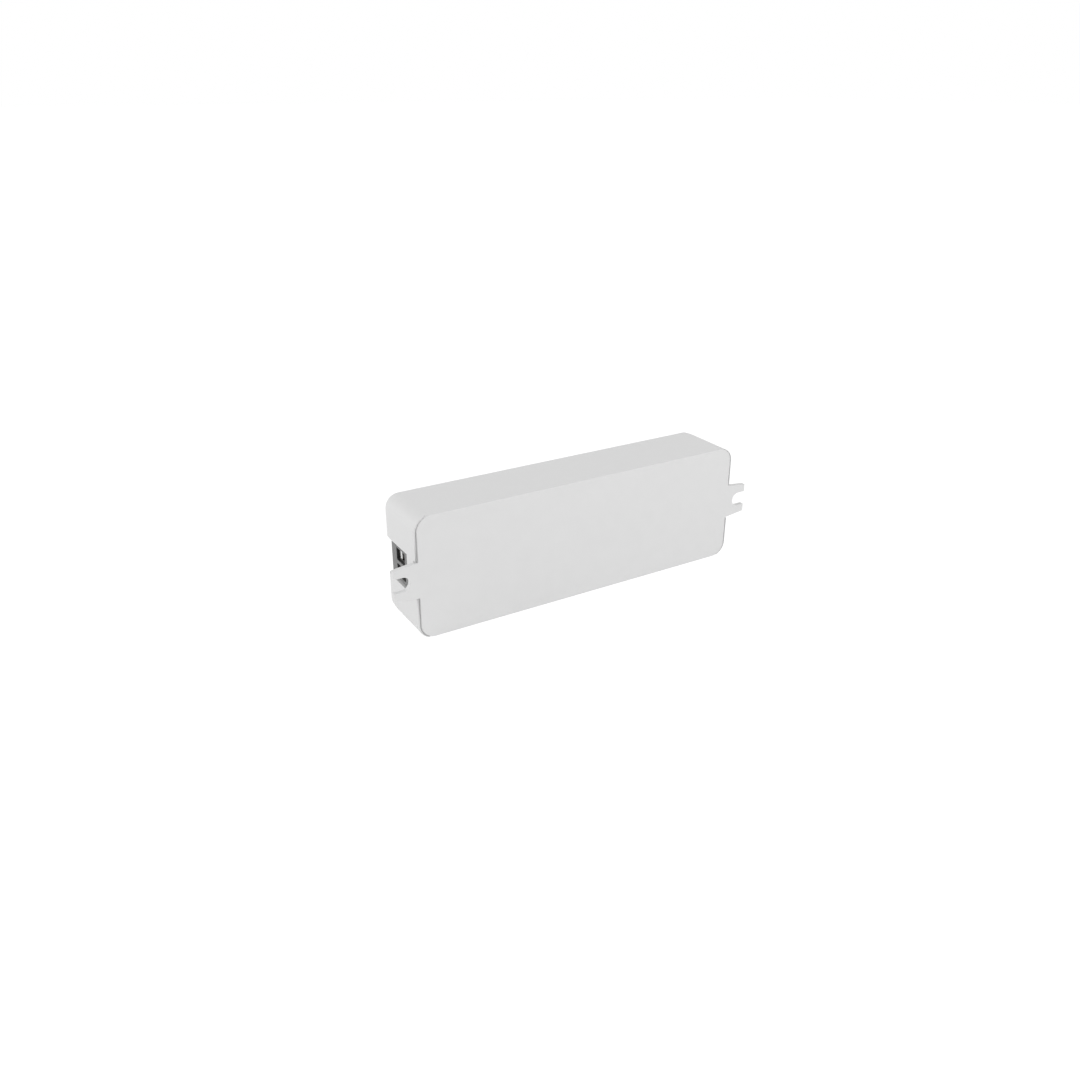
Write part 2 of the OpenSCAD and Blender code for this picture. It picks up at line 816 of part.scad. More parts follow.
// Bent legs along both long sides of a flat chip
module chip_legs(count) {
    level = chip_lift + chip_h * chip_waist - chip_leg_t / 2;
    at_both_ends() for (i = [0:count - 1])
        translate([(i - (count - 1) / 2) * chip_step - chip_leg_w / 2, chip_w / 2, 0]) rotate([90, 0, 90])
            linear_extrude(chip_leg_w) polygon(bent_leg(level, chip_leg_bend, chip_leg_reach, chip_leg_t));
}

module regulator_body() { color(mould_black) stand() on_board(coil_x, reg_y) chip_body(reg_l); }
module regulator_legs() { color(tin) stand() on_board(coil_x, reg_y) chip_legs(reg_legs); }
module controller_body() { color(mould_black) stand() on_board(mcu_x, mcu_y) chip_body(mcu_l); }
module controller_legs() { color(tin) stand() on_board(mcu_x, mcu_y) chip_legs(mcu_legs); }

module diode_bodies() {
    color(mould_black) stand() at_each(diode_places) on_board() slab(diode_l, diode_w, diode_h, diode_lift);
}

module diode_legs() {
    color(tin) stand() at_each(diode_places) on_board() at_both_ends()
        translate([diode_l / 2, diode_leg_w / 2, 0]) rotate([90, 0, 0]) linear_extrude(diode_leg_w)
            polygon(tucked_leg(diode_leg_z, diode_leg_out, diode_leg_under, diode_lift));
}

module input_fuse() {
    side = fuse_w - 2 * fuse_cap_t;
    color("linen") stand() on_board(fuse_x, fuse_y) slab(fuse_l - 2 * fuse_cap_l, side, side, fuse_cap_t);
}

module fuse_caps() {
    color(nickel) stand() on_board(fuse_x, fuse_y) for (s = [-1, 1])
        translate([s * (fuse_l - fuse_cap_l) / 2, 0, 0]) slab(fuse_cap_l, fuse_w, fuse_w);
}

// What lies on the radio board
module on_radio(x = 0, y = 0) {
    stand() on_board(radio_x + x, radio_y + y) translate([0, 0, radio_t]) children();
}

module radio_board() { color("darkgreen") stand() on_board(radio_x, radio_y) slab(radio_l, radio_w, radio_t); }

module radio_chip() {
    color(mould_black) on_radio(radio_chip_x, radio_chip_y) slab(radio_chip_l, radio_chip_l, radio_chip_h);
}

module radio_crystal() {
    color("silver") on_radio(radio_chip_x, crystal_y) linear_extrude(crystal_h)
        rounded_outline(crystal_l, crystal_w, crystal_r);
}

// Printed antenna, folded to and fro across the radio board's end
module radio_antenna() {
    color("goldenrod") on_radio(trace_edge - radio_l / 2, -trace_run / 2) linear_extrude(trace_t) {
        for (i = [0:trace_folds]) translate([i * trace_step, 0]) square([trace_w, trace_run]);
        for (i = [0:trace_folds - 1]) translate([i * trace_step, i % 2 == 0 ? trace_run - trace_w : 0])
            square([trace_step + trace_w, trace_w]);
    }
}

// Middle of a small part, between its two end caps
module small_middle(h) {
    slab(small_l - 2 * small_cap, small_w, h);
}

// Both end caps of a small part
module small_ends(h) {
    for (s = [-1, 1]) translate([s * (small_l - small_cap) / 2, 0, 0]) slab(small_cap, small_w, h);
}

module chip_resistors() {
    color([0.12, 0.12, 0.13]) stand() at_each(resistor_places) on_board() small_middle(small_h);
}

module chip_capacitors() {
    color("burlywood") stand() at_each(capacitor_places) on_board() small_middle(small_tall * small_h);
}

module chip_end_caps() {
    color(tin) stand() {
        at_each(resistor_places) on_board() small_ends(small_h);
        at_each(capacitor_places) on_board() small_ends(small_tall * small_h);
    }
}

base_plate();
cover();
circuit_board();
board_screws();
input_terminal_housing();
input_terminal_cages();
input_terminal_screws();
input_terminal_pins();
output_terminal_housing();
output_terminal_cages();
output_terminal_screws();
output_terminal_pins();
learning_key();
switch_plunger();
switch_housing();
switch_frame();
switch_legs();
light_pipe();
run_lamp();
transistor_bodies();
transistor_tabs();
transistor_legs();
capacitor_can();
capacitor_sleeve();
capacitor_bung();
capacitor_legs();
inductor_core();
inductor_winding();
regulator_body();
regulator_legs();
controller_body();
controller_legs();
diode_bodies();
diode_legs();
input_fuse();
fuse_caps();
radio_board();
radio_chip();
radio_crystal();
radio_antenna();
chip_resistors();
chip_capacitors();
chip_end_caps();
solder_joints();
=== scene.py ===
"""Looks of a slim white controller for low-voltage lamp strips.

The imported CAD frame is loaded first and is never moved. Every sub-assembly of
the controller is a class, which takes its CAD nodes, eases or rebuilds their
shapes and dresses them in the finishes below. All lengths are in metres.
"""

import logging
import math
from collections.abc import Callable, Iterable, Sequence
from dataclasses import dataclass, field
from enum import Enum
from functools import cache

import bmesh
import bpy
from mathutils import Matrix, Quaternion, Vector


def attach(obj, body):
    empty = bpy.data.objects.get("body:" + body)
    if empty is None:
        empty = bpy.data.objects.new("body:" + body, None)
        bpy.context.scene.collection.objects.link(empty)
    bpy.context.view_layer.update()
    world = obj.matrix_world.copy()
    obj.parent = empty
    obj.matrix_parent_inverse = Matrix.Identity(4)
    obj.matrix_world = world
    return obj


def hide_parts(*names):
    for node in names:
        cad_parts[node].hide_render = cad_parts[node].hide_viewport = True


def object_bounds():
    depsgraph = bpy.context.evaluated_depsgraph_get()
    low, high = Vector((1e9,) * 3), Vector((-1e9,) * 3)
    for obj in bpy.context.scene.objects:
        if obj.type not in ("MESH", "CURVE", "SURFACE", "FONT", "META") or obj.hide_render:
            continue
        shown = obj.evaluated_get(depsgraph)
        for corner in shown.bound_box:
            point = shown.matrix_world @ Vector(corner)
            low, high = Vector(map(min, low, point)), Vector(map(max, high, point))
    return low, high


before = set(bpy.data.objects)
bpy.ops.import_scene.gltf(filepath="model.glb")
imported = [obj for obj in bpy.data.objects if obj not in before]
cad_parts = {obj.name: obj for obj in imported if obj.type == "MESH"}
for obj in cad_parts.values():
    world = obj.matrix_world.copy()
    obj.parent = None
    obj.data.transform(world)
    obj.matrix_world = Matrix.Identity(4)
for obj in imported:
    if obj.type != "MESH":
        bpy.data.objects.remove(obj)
CAD_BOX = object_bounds()

Colour = tuple[float, float, float]
Point = tuple[float, float, float]
Pair = tuple[float, float]
Profile = Sequence[Pair]
Shape = bmesh.types.BMesh
Socket = bpy.types.NodeSocket

LOG = logging.getLogger("controller")
MM = 0.001
# Turns a shape's own z axis towards the front of the case
TO_FRONT = Matrix.Rotation(math.radians(90), 4, "X")
# Points closer than this are one, in a new shape and in a CAD mesh
SAME_POINT = 0.0005 * MM
SAME_CAD_POINT = 0.001 * MM
# CAD triangles that meet at less than this angle lie in one plane
SAME_PLANE = math.radians(0.2)
# The broad and the coarse pattern's scale, as shares of the fine one's
BROAD_SCALE = 0.03
COARSE_SCALE = 0.3
# Draws a pattern out along the y axis
DRAWN = (1.0, 0.03, 1.0)
# Weights of the fine grain over the coarse one, and of an effect's own pattern over the broad one
FINE_WEIGHT = 0.7
PATTERN_WEIGHT = 0.6
CRYSTAL_HEIGHT = 0.8


class Body(Enum):
    """The two bodies of the frame."""

    CASE = "case"
    KEY = "key"


class Effect(Enum):
    """The shared surface effects, each one shader node group."""

    GRAIN = "moulded grain"
    STREAKS = "drawn streaks"
    CRYSTALS = "plated crystals"


@dataclass
class NodeSheet:
    """Adds and joins the nodes of one material or group."""

    tree: bpy.types.NodeTree

    @classmethod
    def blank(cls, owner: bpy.types.ID) -> "NodeSheet":
        """Turns on the nodes of a material or a world, and clears them."""
        owner.use_nodes = True
        owner.node_tree.nodes.clear()
        return cls(owner.node_tree)

    def add(self, kind: str, **settings: object) -> bpy.types.Node:
        """Adds a node.

        Args:
            kind: Blender's name of the node's type.
            **settings: Values of the node's own properties.

        Returns:
            The new node.
        """
        node = self.tree.nodes.new(kind)
        for name, value in settings.items():
            setattr(node, name, value)
        return node

    def feed(self, node: bpy.types.Node, **values: object) -> bpy.types.Node:
        """Sets a node's inputs, or joins them to other nodes' outputs.

        Args:
            node: The node whose inputs are set.
            **values: A value or an output for each input, by its name with
                underscores for spaces, or i0, i1 and so on by its number.

        Returns:
            The same node.
        """
        for name, value in values.items():
            numbered = name[0] == "i" and name[1:].isdigit()
            socket = node.inputs[int(name[1:]) if numbered else name.replace("_", " ")]
            if isinstance(value, Socket):
                self.tree.links.new(value, socket)
            else:
                socket.default_value = value
        return node

    def put(self, kind: str, **values: object) -> bpy.types.Node:
        """Adds a node and feeds it."""
        return self.feed(self.add(kind), **values)

    def maths(self, operation: str, *terms: object) -> Socket:
        """Adds a Math node and gives its output."""
        node = self.add("ShaderNodeMath", operation=operation)
        return self.feed(node, **{f"i{i}": t for i, t in enumerate(terms)}).outputs[0]

    def noise(self, vector: Socket, scale: object, detail: float) -> Socket:
        """Adds a Noise texture and gives its grey output."""
        return self.put("ShaderNodeTexNoise", Vector=vector, Scale=scale, Detail=detail).outputs[0]

    def between(self, share: Socket, low: object, high: object) -> Socket:
        """Mixes two numbers or two colours by a share.

        Args:
            share: Output that runs from 0 to 1.
            low: Number or colour at 0.
            high: Number or colour at 1.

        Returns:
            The mixed output.
        """
        if isinstance(low, float):
            node = self.add("ShaderNodeMix", data_type="FLOAT")
            return self.feed(node, i0=share, i2=low, i3=high).outputs[0]
        return self.over(share, (*low, 1.0), (*high, 1.0))

    def over(self, mask: Socket, below: object, above: object) -> Socket:
        """Lays one colour over another where a mask is 1."""
        node = self.add("ShaderNodeMix", data_type="RGBA")
        return self.feed(node, i0=mask, i6=below, i7=above).outputs[2]

    def weighted(self, first: Socket, second: Socket, weight: float) -> Socket:
        """Adds two outputs, the first by its weight and the second by the rest."""
        rest = self.maths("MULTIPLY", second, 1.0 - weight)
        return self.maths("ADD", self.maths("MULTIPLY", first, weight), rest)

    def seen(self) -> Socket:
        """Gives 1 for rays from the camera, from gloss and through glass, and 0 for others."""
        path = self.add("ShaderNodeLightPath")
        mirrored = self.maths("MAXIMUM", path.outputs["Is Glossy Ray"], path.outputs["Is Transmission Ray"])
        return self.maths("MAXIMUM", path.outputs["Is Camera Ray"], mirrored)


@cache
def effect_group(effect: Effect) -> bpy.types.NodeTree:
    """Builds the node group of an effect, once.

    Args:
        effect: The effect that is wanted.

    Returns:
        A group with the inputs Vector and Scale and the outputs Height and Tone,
        which both run from about 0 to 1.
    """
    group = bpy.data.node_groups.new(effect.value, "ShaderNodeTree")
    for name, way, kind in (
        ("Vector", "INPUT", "Vector"),
        ("Scale", "INPUT", "Float"),
        ("Height", "OUTPUT", "Float"),
        ("Tone", "OUTPUT", "Float"),
    ):
        group.interface.new_socket(name, in_out=way, socket_type=f"NodeSocket{kind}")
    sheet = NodeSheet(group)
    entry = sheet.add("NodeGroupInput")
    leave = sheet.add("NodeGroupOutput")
    vector, scale = entry.outputs[0], entry.outputs[1]
    broad = sheet.noise(vector, sheet.maths("MULTIPLY", scale, BROAD_SCALE), detail=3.0)
    if effect is Effect.GRAIN:
        fine = sheet.noise(vector, scale, detail=4.0)
        coarse = sheet.noise(vector, sheet.maths("MULTIPLY", scale, COARSE_SCALE), detail=2.0)
        height = sheet.weighted(fine, coarse, FINE_WEIGHT)
        tone = broad
    elif effect is Effect.STREAKS:
        stretch = sheet.add("ShaderNodeVectorMath", operation="MULTIPLY")
        height = sheet.noise(sheet.feed(stretch, i0=vector, i1=DRAWN).outputs[0], scale, detail=3.0)
        tone = sheet.weighted(height, broad, PATTERN_WEIGHT)
    else:
        cells = sheet.put("ShaderNodeTexVoronoi", Vector=vector, Scale=scale)
        height = sheet.maths("MULTIPLY", cells.outputs["Distance"], CRYSTAL_HEIGHT)
        split = sheet.put("ShaderNodeSeparateColor", Color=cells.outputs["Color"])
        tone = sheet.weighted(split.outputs[0], broad, PATTERN_WEIGHT)
    sheet.feed(leave, Height=height, Tone=tone)
    return group


@dataclass(frozen=True)
class Finish:
    """One finish, and how its colour, gloss and relief change over a surface.

    The name also names the material.
    """

    name: str
    colours: tuple[Colour, Colour]
    roughness: Pair
    effect: Effect = Effect.GRAIN
    scale: float = 9000.0
    relief: float = 0.004 * MM
    strength: float = 0.5
    metallic: float = 0.0
    coat: float = 0.0
    ior: float = 1.5
    transmission: float = 0.0

    @cache
    def material(self) -> bpy.types.Material:
        """Builds the finish's material, once, and gives it."""
        made = bpy.data.materials.new(f"{self.name} finish")
        self.draw(NodeSheet.blank(made))
        return made

    def draw(self, sheet: NodeSheet) -> None:
        """Draws the nodes of the material.

        Args:
            sheet: The material's node sheet, empty so far.
        """
        place = sheet.add("ShaderNodeTexCoord").outputs["Object"]
        height, tone = self.surface(sheet, place)
        bump = sheet.put("ShaderNodeBump", Height=height, Strength=self.strength, Distance=self.relief)
        shader = sheet.put(
            "ShaderNodeBsdfPrincipled",
            Base_Color=self.paint(sheet, place, tone),
            Roughness=sheet.between(tone, *self.roughness),
            Metallic=self.metallic,
            Coat_Weight=self.coat,
            IOR=self.ior,
            Transmission_Weight=self.transmission,
            Normal=bump.outputs[0],
        )
        sheet.put("ShaderNodeOutputMaterial", Surface=shader.outputs[0])

    def surface(self, sheet: NodeSheet, place: Socket) -> tuple[Socket, Socket]:
        """Places the effect's group.

        Args:
            sheet: The material's node sheet.
            place: The Object coordinates.

        Returns:
            The height and the tone over the surface.
        """
        group = sheet.add("ShaderNodeGroup", node_tree=effect_group(self.effect))
        sheet.feed(group, Vector=place, Scale=self.scale)
        return group.outputs["Height"], group.outputs["Tone"]

    def paint(self, sheet: NodeSheet, place: Socket, tone: Socket) -> Socket:
        """Mixes the colour from the tone.

        Args:
            sheet: The material's node sheet.
            place: The Object coordinates.
            tone: The tone over the surface.

        Returns:
            The colour over the surface.
        """
        return sheet.between(tone, *self.colours)


@dataclass(frozen=True)
class PortShadeFinish(Finish):
    """A finish with painted shade within the wire ports of the terminal blocks."""

    # Share of the colour that is left where shade is painted into a port
    port_shade: float = 0.12
    ends: Pair = (48.8 * MM, 55.55 * MM)
    depths: Pair = (-4.30 * MM, 1.60 * MM)
    middle: float = 19.0 * MM
    pitch: float = 5.08 * MM
    half_width: float = 2.03 * MM

    def paint(self, sheet: NodeSheet, place: Socket, tone: Socket) -> Socket:
        """Mixes the colour from the tone, and paints shade into it where a port is."""
        split = sheet.put("ShaderNodeSeparateXYZ", Vector=place)
        along = sheet.maths("ABSOLUTE", split.outputs[0])
        within = [
            sheet.maths(side, reach, limit)
            for reach, limits in ((along, self.ends), (split.outputs[1], self.depths))
            for side, limit in zip(("GREATER_THAN", "LESS_THAN"), limits)
        ]
        # The supply end has an even number of poles and the lamp end an odd one
        supply = sheet.maths("GREATER_THAN", split.outputs[0], 0.0)
        aside = sheet.maths("MULTIPLY", supply, self.pitch / 2)
        across = sheet.maths("ADD", sheet.maths("SUBTRACT", split.outputs[2], self.middle), aside)
        cell = sheet.maths("SNAP", sheet.maths("ADD", across, self.pitch / 2), self.pitch)
        away = sheet.maths("ABSOLUTE", sheet.maths("SUBTRACT", across, cell))
        within.append(sheet.maths("LESS_THAN", away, self.half_width))
        mask = within[0]
        for part in within[1:]:
            mask = sheet.maths("MULTIPLY", mask, part)
        # Painted shade: the block's colour is darkened where the mask finds a port, standing in for the
        # shadow in the recess
        painted_shade = (tuple(level * self.port_shade for level in colour) for colour in self.colours)
        return sheet.over(mask, super().paint(sheet, place, tone), sheet.between(tone, *painted_shade))


@dataclass(frozen=True)
class StripedFinish(Finish):
    """A finish of a round piece with a lighter stripe down one side."""

    axis: Pair = (37.25 * MM, 19.0 * MM)
    stripe: Colour = (0.42, 0.44, 0.47)
    half_angle: float = 0.42

    def paint(self, sheet: NodeSheet, place: Socket, tone: Socket) -> Socket:
        """Mixes the colour from the tone, and lays the stripe over it."""
        split = sheet.put("ShaderNodeSeparateXYZ", Vector=place)
        along = sheet.maths("SUBTRACT", split.outputs[0], self.axis[0])
        across = sheet.maths("SUBTRACT", split.outputs[2], self.axis[1])
        angle = sheet.maths("ABSOLUTE", sheet.maths("ARCTAN2", along, across))
        mask = sheet.maths("LESS_THAN", angle, self.half_angle)
        return sheet.over(mask, super().paint(sheet, place, tone), (*self.stripe, 1.0))


@dataclass(frozen=True)
class MetalFinish(Finish):
    """A bare metal, drawn or rolled where nothing else is said."""

    effect: Effect = Effect.STREAKS
    scale: float = 5000.0
    metallic: float = 1.0


@dataclass(frozen=True)
class LacquerFinish(Finish):
    """The glossy lacquer of a circuit board."""

    roughness: Pair = (0.22, 0.34)
    scale: float = 2500.0
    coat: float = 0.3


def grey(level: float) -> Colour:
    """A neutral colour."""
    return (level, level, level)


SHELL = Finish("shell_white", (grey(0.735), grey(0.765)), (0.42, 0.52), scale=7000.0, relief=0.016 * MM)
KEY = Finish("key_white", (grey(0.72), grey(0.75)), (0.34, 0.44), relief=0.003 * MM)
BLOCK = PortShadeFinish("block_grey", (grey(0.17), grey(0.20)), (0.45, 0.58), scale=8000.0)
NICKEL = MetalFinish("nickel_plate", ((0.40, 0.39, 0.38), (0.52, 0.51, 0.49)), (0.20, 0.34), scale=6000.0)
SCREW = MetalFinish("screw_steel", ((0.62, 0.62, 0.60), (0.74, 0.74, 0.73)), (0.22, 0.38))
PIN = MetalFinish("tin_plate", (grey(0.88), grey(0.94)), (0.22, 0.34), Effect.CRYSTALS, 3000.0)
TIN = MetalFinish(
    "tin_plate", ((0.58, 0.59, 0.60), (0.72, 0.73, 0.74)), (0.30, 0.48), Effect.CRYSTALS, 4000.0
)
SOLDER = MetalFinish("solder", ((0.60, 0.61, 0.62), (0.70, 0.71, 0.72)), (0.16, 0.30), Effect.GRAIN, 3000.0)
MOULD = Finish("mould_black", (grey(0.018), grey(0.030)), (0.48, 0.64), scale=12000.0, relief=0.006 * MM)
BOARD = LacquerFinish("board_green", ((0.008, 0.085, 0.035), (0.012, 0.125, 0.05)))
TRACK = LacquerFinish("board_green", ((0.014, 0.15, 0.06), (0.02, 0.19, 0.08)))
RADIO = LacquerFinish("radio_green", ((0.005, 0.045, 0.02), (0.008, 0.07, 0.03)))
ACRYLIC = Finish(
    "clear_acrylic", (grey(0.92), grey(0.96)), (0.03, 0.08), scale=2000.0, relief=0.001 * MM, ior=1.49,
    transmission=0.9,
)
LAMP = Finish("lamp_cream", ((0.72, 0.66, 0.42), (0.80, 0.75, 0.52)), (0.15, 0.25), coat=0.4)
CAN = MetalFinish("can_aluminium", ((0.72, 0.72, 0.73), (0.84, 0.84, 0.85)), (0.24, 0.38))
SLEEVE = StripedFinish(
    "sleeve_film", ((0.010, 0.015, 0.035), (0.016, 0.022, 0.048)), (0.20, 0.32), scale=1500.0
)
RUBBER = Finish("bung_rubber", (grey(0.014), grey(0.022)), (0.72, 0.86))
FERRITE = Finish("ferrite", (grey(0.028), grey(0.045)), (0.55, 0.72), scale=15000.0, relief=0.010 * MM)
COPPER = MetalFinish(
    "copper_wire", ((0.62, 0.24, 0.10), (0.78, 0.34, 0.15)), (0.18, 0.30), scale=4000.0, coat=0.5
)
CERAMIC = Finish("fuse_ceramic", ((0.74, 0.70, 0.60), (0.82, 0.79, 0.70)), (0.50, 0.66), scale=14000.0)
CHIP = Finish("chip_ceramic", ((0.30, 0.18, 0.09), (0.38, 0.24, 0.13)), (0.44, 0.60), scale=14000.0)
GOLD = MetalFinish("antenna_gold", ((0.72, 0.50, 0.20), (0.84, 0.62, 0.28)), (0.20, 0.34))


def merged_copy(node: str) -> Shape:
    """Copies a CAD node's mesh, joins its loose triangles and merges those that lie in one plane.

    Args:
        node: Name of the CAD node.

    Returns:
        A closed mesh, in the frame.
    """
    mesh = bmesh.new()
    mesh.from_mesh(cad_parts[node].data)
    bmesh.ops.remove_doubles(mesh, verts=mesh.verts, dist=SAME_CAD_POINT)
    bmesh.ops.dissolve_limit(mesh, angle_limit=SAME_PLANE, verts=mesh.verts, edges=mesh.edges)
    return mesh


@dataclass(frozen=True)
class Seat:
    """The box of one solid of a CAD node, with its foot towards the back plate and its top to the front."""

    low: Vector
    high: Vector

    @property
    def size(self) -> Vector:
        """The box's lengths."""
        return self.high - self.low

    @property
    def middle(self) -> Vector:
        """The box's middle."""
        return (self.low + self.high) / 2

    @property
    def foot(self) -> Vector:
        """The middle of the face towards the back plate."""
        return Vector((self.middle.x, self.high.y, self.middle.z))

    @property
    def top(self) -> Vector:
        """The middle of the face to the front."""
        return Vector((self.middle.x, self.low.y, self.middle.z))


def seats(node: str) -> list[Seat]:
    """Finds the boxes of a CAD node's separate solids.

    Args:
        node: Name of the CAD node.

    Returns:
        The boxes, in order along x and then along z.
    """
    mesh = merged_copy(node)
    unseen = set(mesh.verts)
    found = []
    while unseen:
        solid = [unseen.pop()]
        for vert in solid:
            near = {end for edge in vert.link_edges for end in edge.verts} & unseen
            unseen -= near
            solid += near
        sides = list(zip(*(vert.co for vert in solid)))
        found.append(Seat(Vector(map(min, sides)), Vector(map(max, sides))))
    mesh.free()
    return sorted(found, key=lambda seat: (round(seat.middle.x, 5), round(seat.middle.z, 5)))


def ease(
    mesh: Shape,
    width: float,
    segments: int = 2,
    turn: float = 30.0,
    chosen: Callable[[bmesh.types.BMEdge], bool] = lambda edge: True,
) -> Shape:
    """Rounds the outer edges of a shape.

    Args:
        mesh: The shape.
        width: Width of the rounding along each face.
        segments: Steps of the rounding.
        turn: Least angle between an edge's faces, in degrees.
        chosen: Tells whether an edge is one to round.

    Returns:
        The same shape.
    """
    sharp = math.radians(turn)
    edges = [e for e in mesh.edges if e.is_manifold and e.calc_face_angle_signed() > sharp and chosen(e)]
    bmesh.ops.bevel(
        mesh, geom=edges, offset=width, offset_type="OFFSET", segments=segments, profile=0.5,
        affect="EDGES", material=-1, clamp_overlap=True,
    )
    return mesh


def bar(low: Sequence[float], high: Sequence[float]) -> Shape:
    """Makes a box between two corners.

    Args:
        low: The corner with the lowest coordinates.
        high: The corner with the highest ones.

    Returns:
        A closed mesh, in the frame.
    """
    mesh = bmesh.new()
    near, far = Vector(low), Vector(high)
    bmesh.ops.create_cube(mesh, size=1.0)
    bmesh.ops.scale(mesh, vec=far - near, verts=mesh.verts)
    bmesh.ops.translate(mesh, vec=(near + far) / 2, verts=mesh.verts)
    return mesh


def line(points: Iterable[Point]) -> Shape:
    """Makes a line of edges through points.

    Args:
        points: The points, in order.

    Returns:
        An open line, without faces.
    """
    mesh = bmesh.new()
    verts = [mesh.verts.new(point) for point in points]
    for pair in zip(verts, verts[1:]):
        mesh.edges.new(pair)
    return mesh


def spin(mesh: Shape, angle: float, steps: int, rise: float = 0.0) -> None:
    """Sweeps the points and edges of a shape about the z axis.

    Args:
        mesh: The shape.
        angle: How far it is swept, in radians.
        steps: Number of steps.
        rise: How far it climbs in one step; a full turn without rise is closed.
    """
    bmesh.ops.spin(
        mesh, geom=mesh.verts[:] + mesh.edges[:], cent=(0.0, 0.0, 0.0), axis=(0.0, 0.0, 1.0),
        dvec=(0.0, 0.0, rise), angle=angle, steps=steps, use_merge=not rise and angle == math.tau,
    )


def trim(mesh: Shape, place: Point, way: Point) -> None:
    """Cuts off what lies beyond a plane.

    Args:
        mesh: The shape.
        place: A point of the plane.
        way: Direction of what is cut off.
    """
    whole = mesh.verts[:] + mesh.edges[:] + mesh.faces[:]
    bmesh.ops.bisect_plane(mesh, geom=whole, plane_co=place, plane_no=way, clear_outer=True)


def close(mesh: Shape) -> None:
    """Fills a shape's open ends."""
    bmesh.ops.holes_fill(mesh, edges=[e for e in mesh.edges if e.is_boundary], sides=0)


def close_and_place(mesh: Shape, foot: Vector) -> Shape:
    """Fills a shape's open ends and stands it on its foot, pointing to the front.

    Args:
        mesh: The shape, along its own z axis.
        foot: Where its origin goes.

    Returns:
        The same shape, closed, in the frame.
    """
    bmesh.ops.remove_doubles(mesh, verts=mesh.verts, dist=SAME_POINT)
    close(mesh)
    bmesh.ops.recalc_face_normals(mesh, faces=mesh.faces)
    bmesh.ops.transform(mesh, matrix=Matrix.Translation(foot) @ TO_FRONT, verts=mesh.verts)
    return mesh


def turned(profile: Profile, foot: Vector, steps: int = 40, angle: float = math.tau) -> Shape:
    """Turns a profile about the axis that runs from its foot to the front.

    Args:
        profile: Radius and height of each point, in millimetres. It starts and
            ends on the axis, or where it started, for a tube.
        foot: Where the axis starts.
        steps: Number of steps of the turning.
        angle: How far it is turned, in radians.

    Returns:
        A closed mesh, in the frame.
    """
    mesh = line((radius * MM, 0.0, height * MM) for radius, height in profile)
    spin(mesh, angle, steps)
    return close_and_place(mesh, foot)


def threaded(major: float, minor: float, pitch: float, length: float, foot: Vector, steps: int = 20) -> Shape:
    """Winds a screw thread about the axis that runs from its foot to the front.

    Args:
        major: Outer diameter.
        minor: Diameter at the bottom of the thread.
        pitch: Rise of one turn.
        length: Length of the rod.
        foot: Where the axis starts.
        steps: Number of steps of one turn.

    Returns:
        A closed mesh, in the frame.
    """
    mesh = line(
        ((major if i % 2 else minor) / 2, 0.0, i * pitch / 2)
        for i in range(-2, 2 * math.ceil(length / pitch) + 2)
    )
    spin(mesh, math.tau, steps, pitch / steps)
    bmesh.ops.remove_doubles(mesh, verts=mesh.verts, dist=SAME_POINT)
    trim(mesh, (0.0, 0.0, 0.0), (0.0, 0.0, -1.0))
    trim(mesh, (0.0, 0.0, length), (0.0, 0.0, 1.0))
    return close_and_place(mesh, foot)


def coil(radius: float, wire: float, turns: int, foot: Vector, steps: int = 28) -> Shape:
    """Winds a round wire, turn on turn, about the axis that runs from its foot to the front.

    Args:
        radius: Distance from the axis to the wire's middle.
        wire: Diameter of the wire.
        turns: Number of turns.
        foot: Where the axis starts.
        steps: Number of steps of one turn.

    Returns:
        A closed mesh, in the frame.
    """
    mesh = bmesh.new()
    stance = Matrix.Translation((radius, 0.0, wire / 2)) @ TO_FRONT
    bmesh.ops.create_circle(mesh, cap_ends=False, radius=wire / 2, segments=10, matrix=stance)
    spin(mesh, math.tau * turns, steps * turns, wire / steps)
    return close_and_place(mesh, foot)


def joined(shapes: Iterable[Shape]) -> Shape:
    """Gathers several shapes in one.

    Args:
        shapes: The shapes; they are freed.

    Returns:
        One mesh with all of them.
    """
    whole = bmesh.new()
    spare = bpy.data.meshes.new("spare")
    for shape in shapes:
        shape.to_mesh(spare)
        shape.free()
        whole.from_mesh(spare)
    bpy.data.meshes.remove(spare)
    return whole


def written(mesh: Shape, name: str) -> bpy.types.Mesh:
    """Writes a shape to mesh data.

    Args:
        mesh: The shape; it is freed.
        name: Name of the data.

    Returns:
        The data.
    """
    data = bpy.data.meshes.new(name)
    mesh.to_mesh(data)
    mesh.free()
    return data


def linked(name: str, data: bpy.types.ID) -> bpy.types.Object:
    """Puts an object in the scene.

    Args:
        name: Name of the object.
        data: What it shows.

    Returns:
        The object, at the origin.
    """
    made = bpy.data.objects.new(name, data)
    bpy.context.scene.collection.objects.link(made)
    return made


def carved(shape: Shape, tools: Iterable[Shape]) -> Shape:
    """Cuts tools out of a shape.

    Args:
        shape: The shape; it is freed.
        tools: What is cut out; it is freed.

    Returns:
        What is left.
    """
    spares = [linked("spare", written(mesh, "spare")) for mesh in (shape, joined(tools))]
    cut = spares[0].modifiers.new("cut", "BOOLEAN")
    cut.operation = "DIFFERENCE"
    cut.solver = "EXACT"
    cut.object = spares[1]
    left = bmesh.new()
    left.from_object(spares[0], bpy.context.evaluated_depsgraph_get())
    for spare in spares:
        bpy.data.meshes.remove(spare.data)
    bmesh.ops.remove_doubles(left, verts=left.verts, dist=SAME_POINT)
    return left


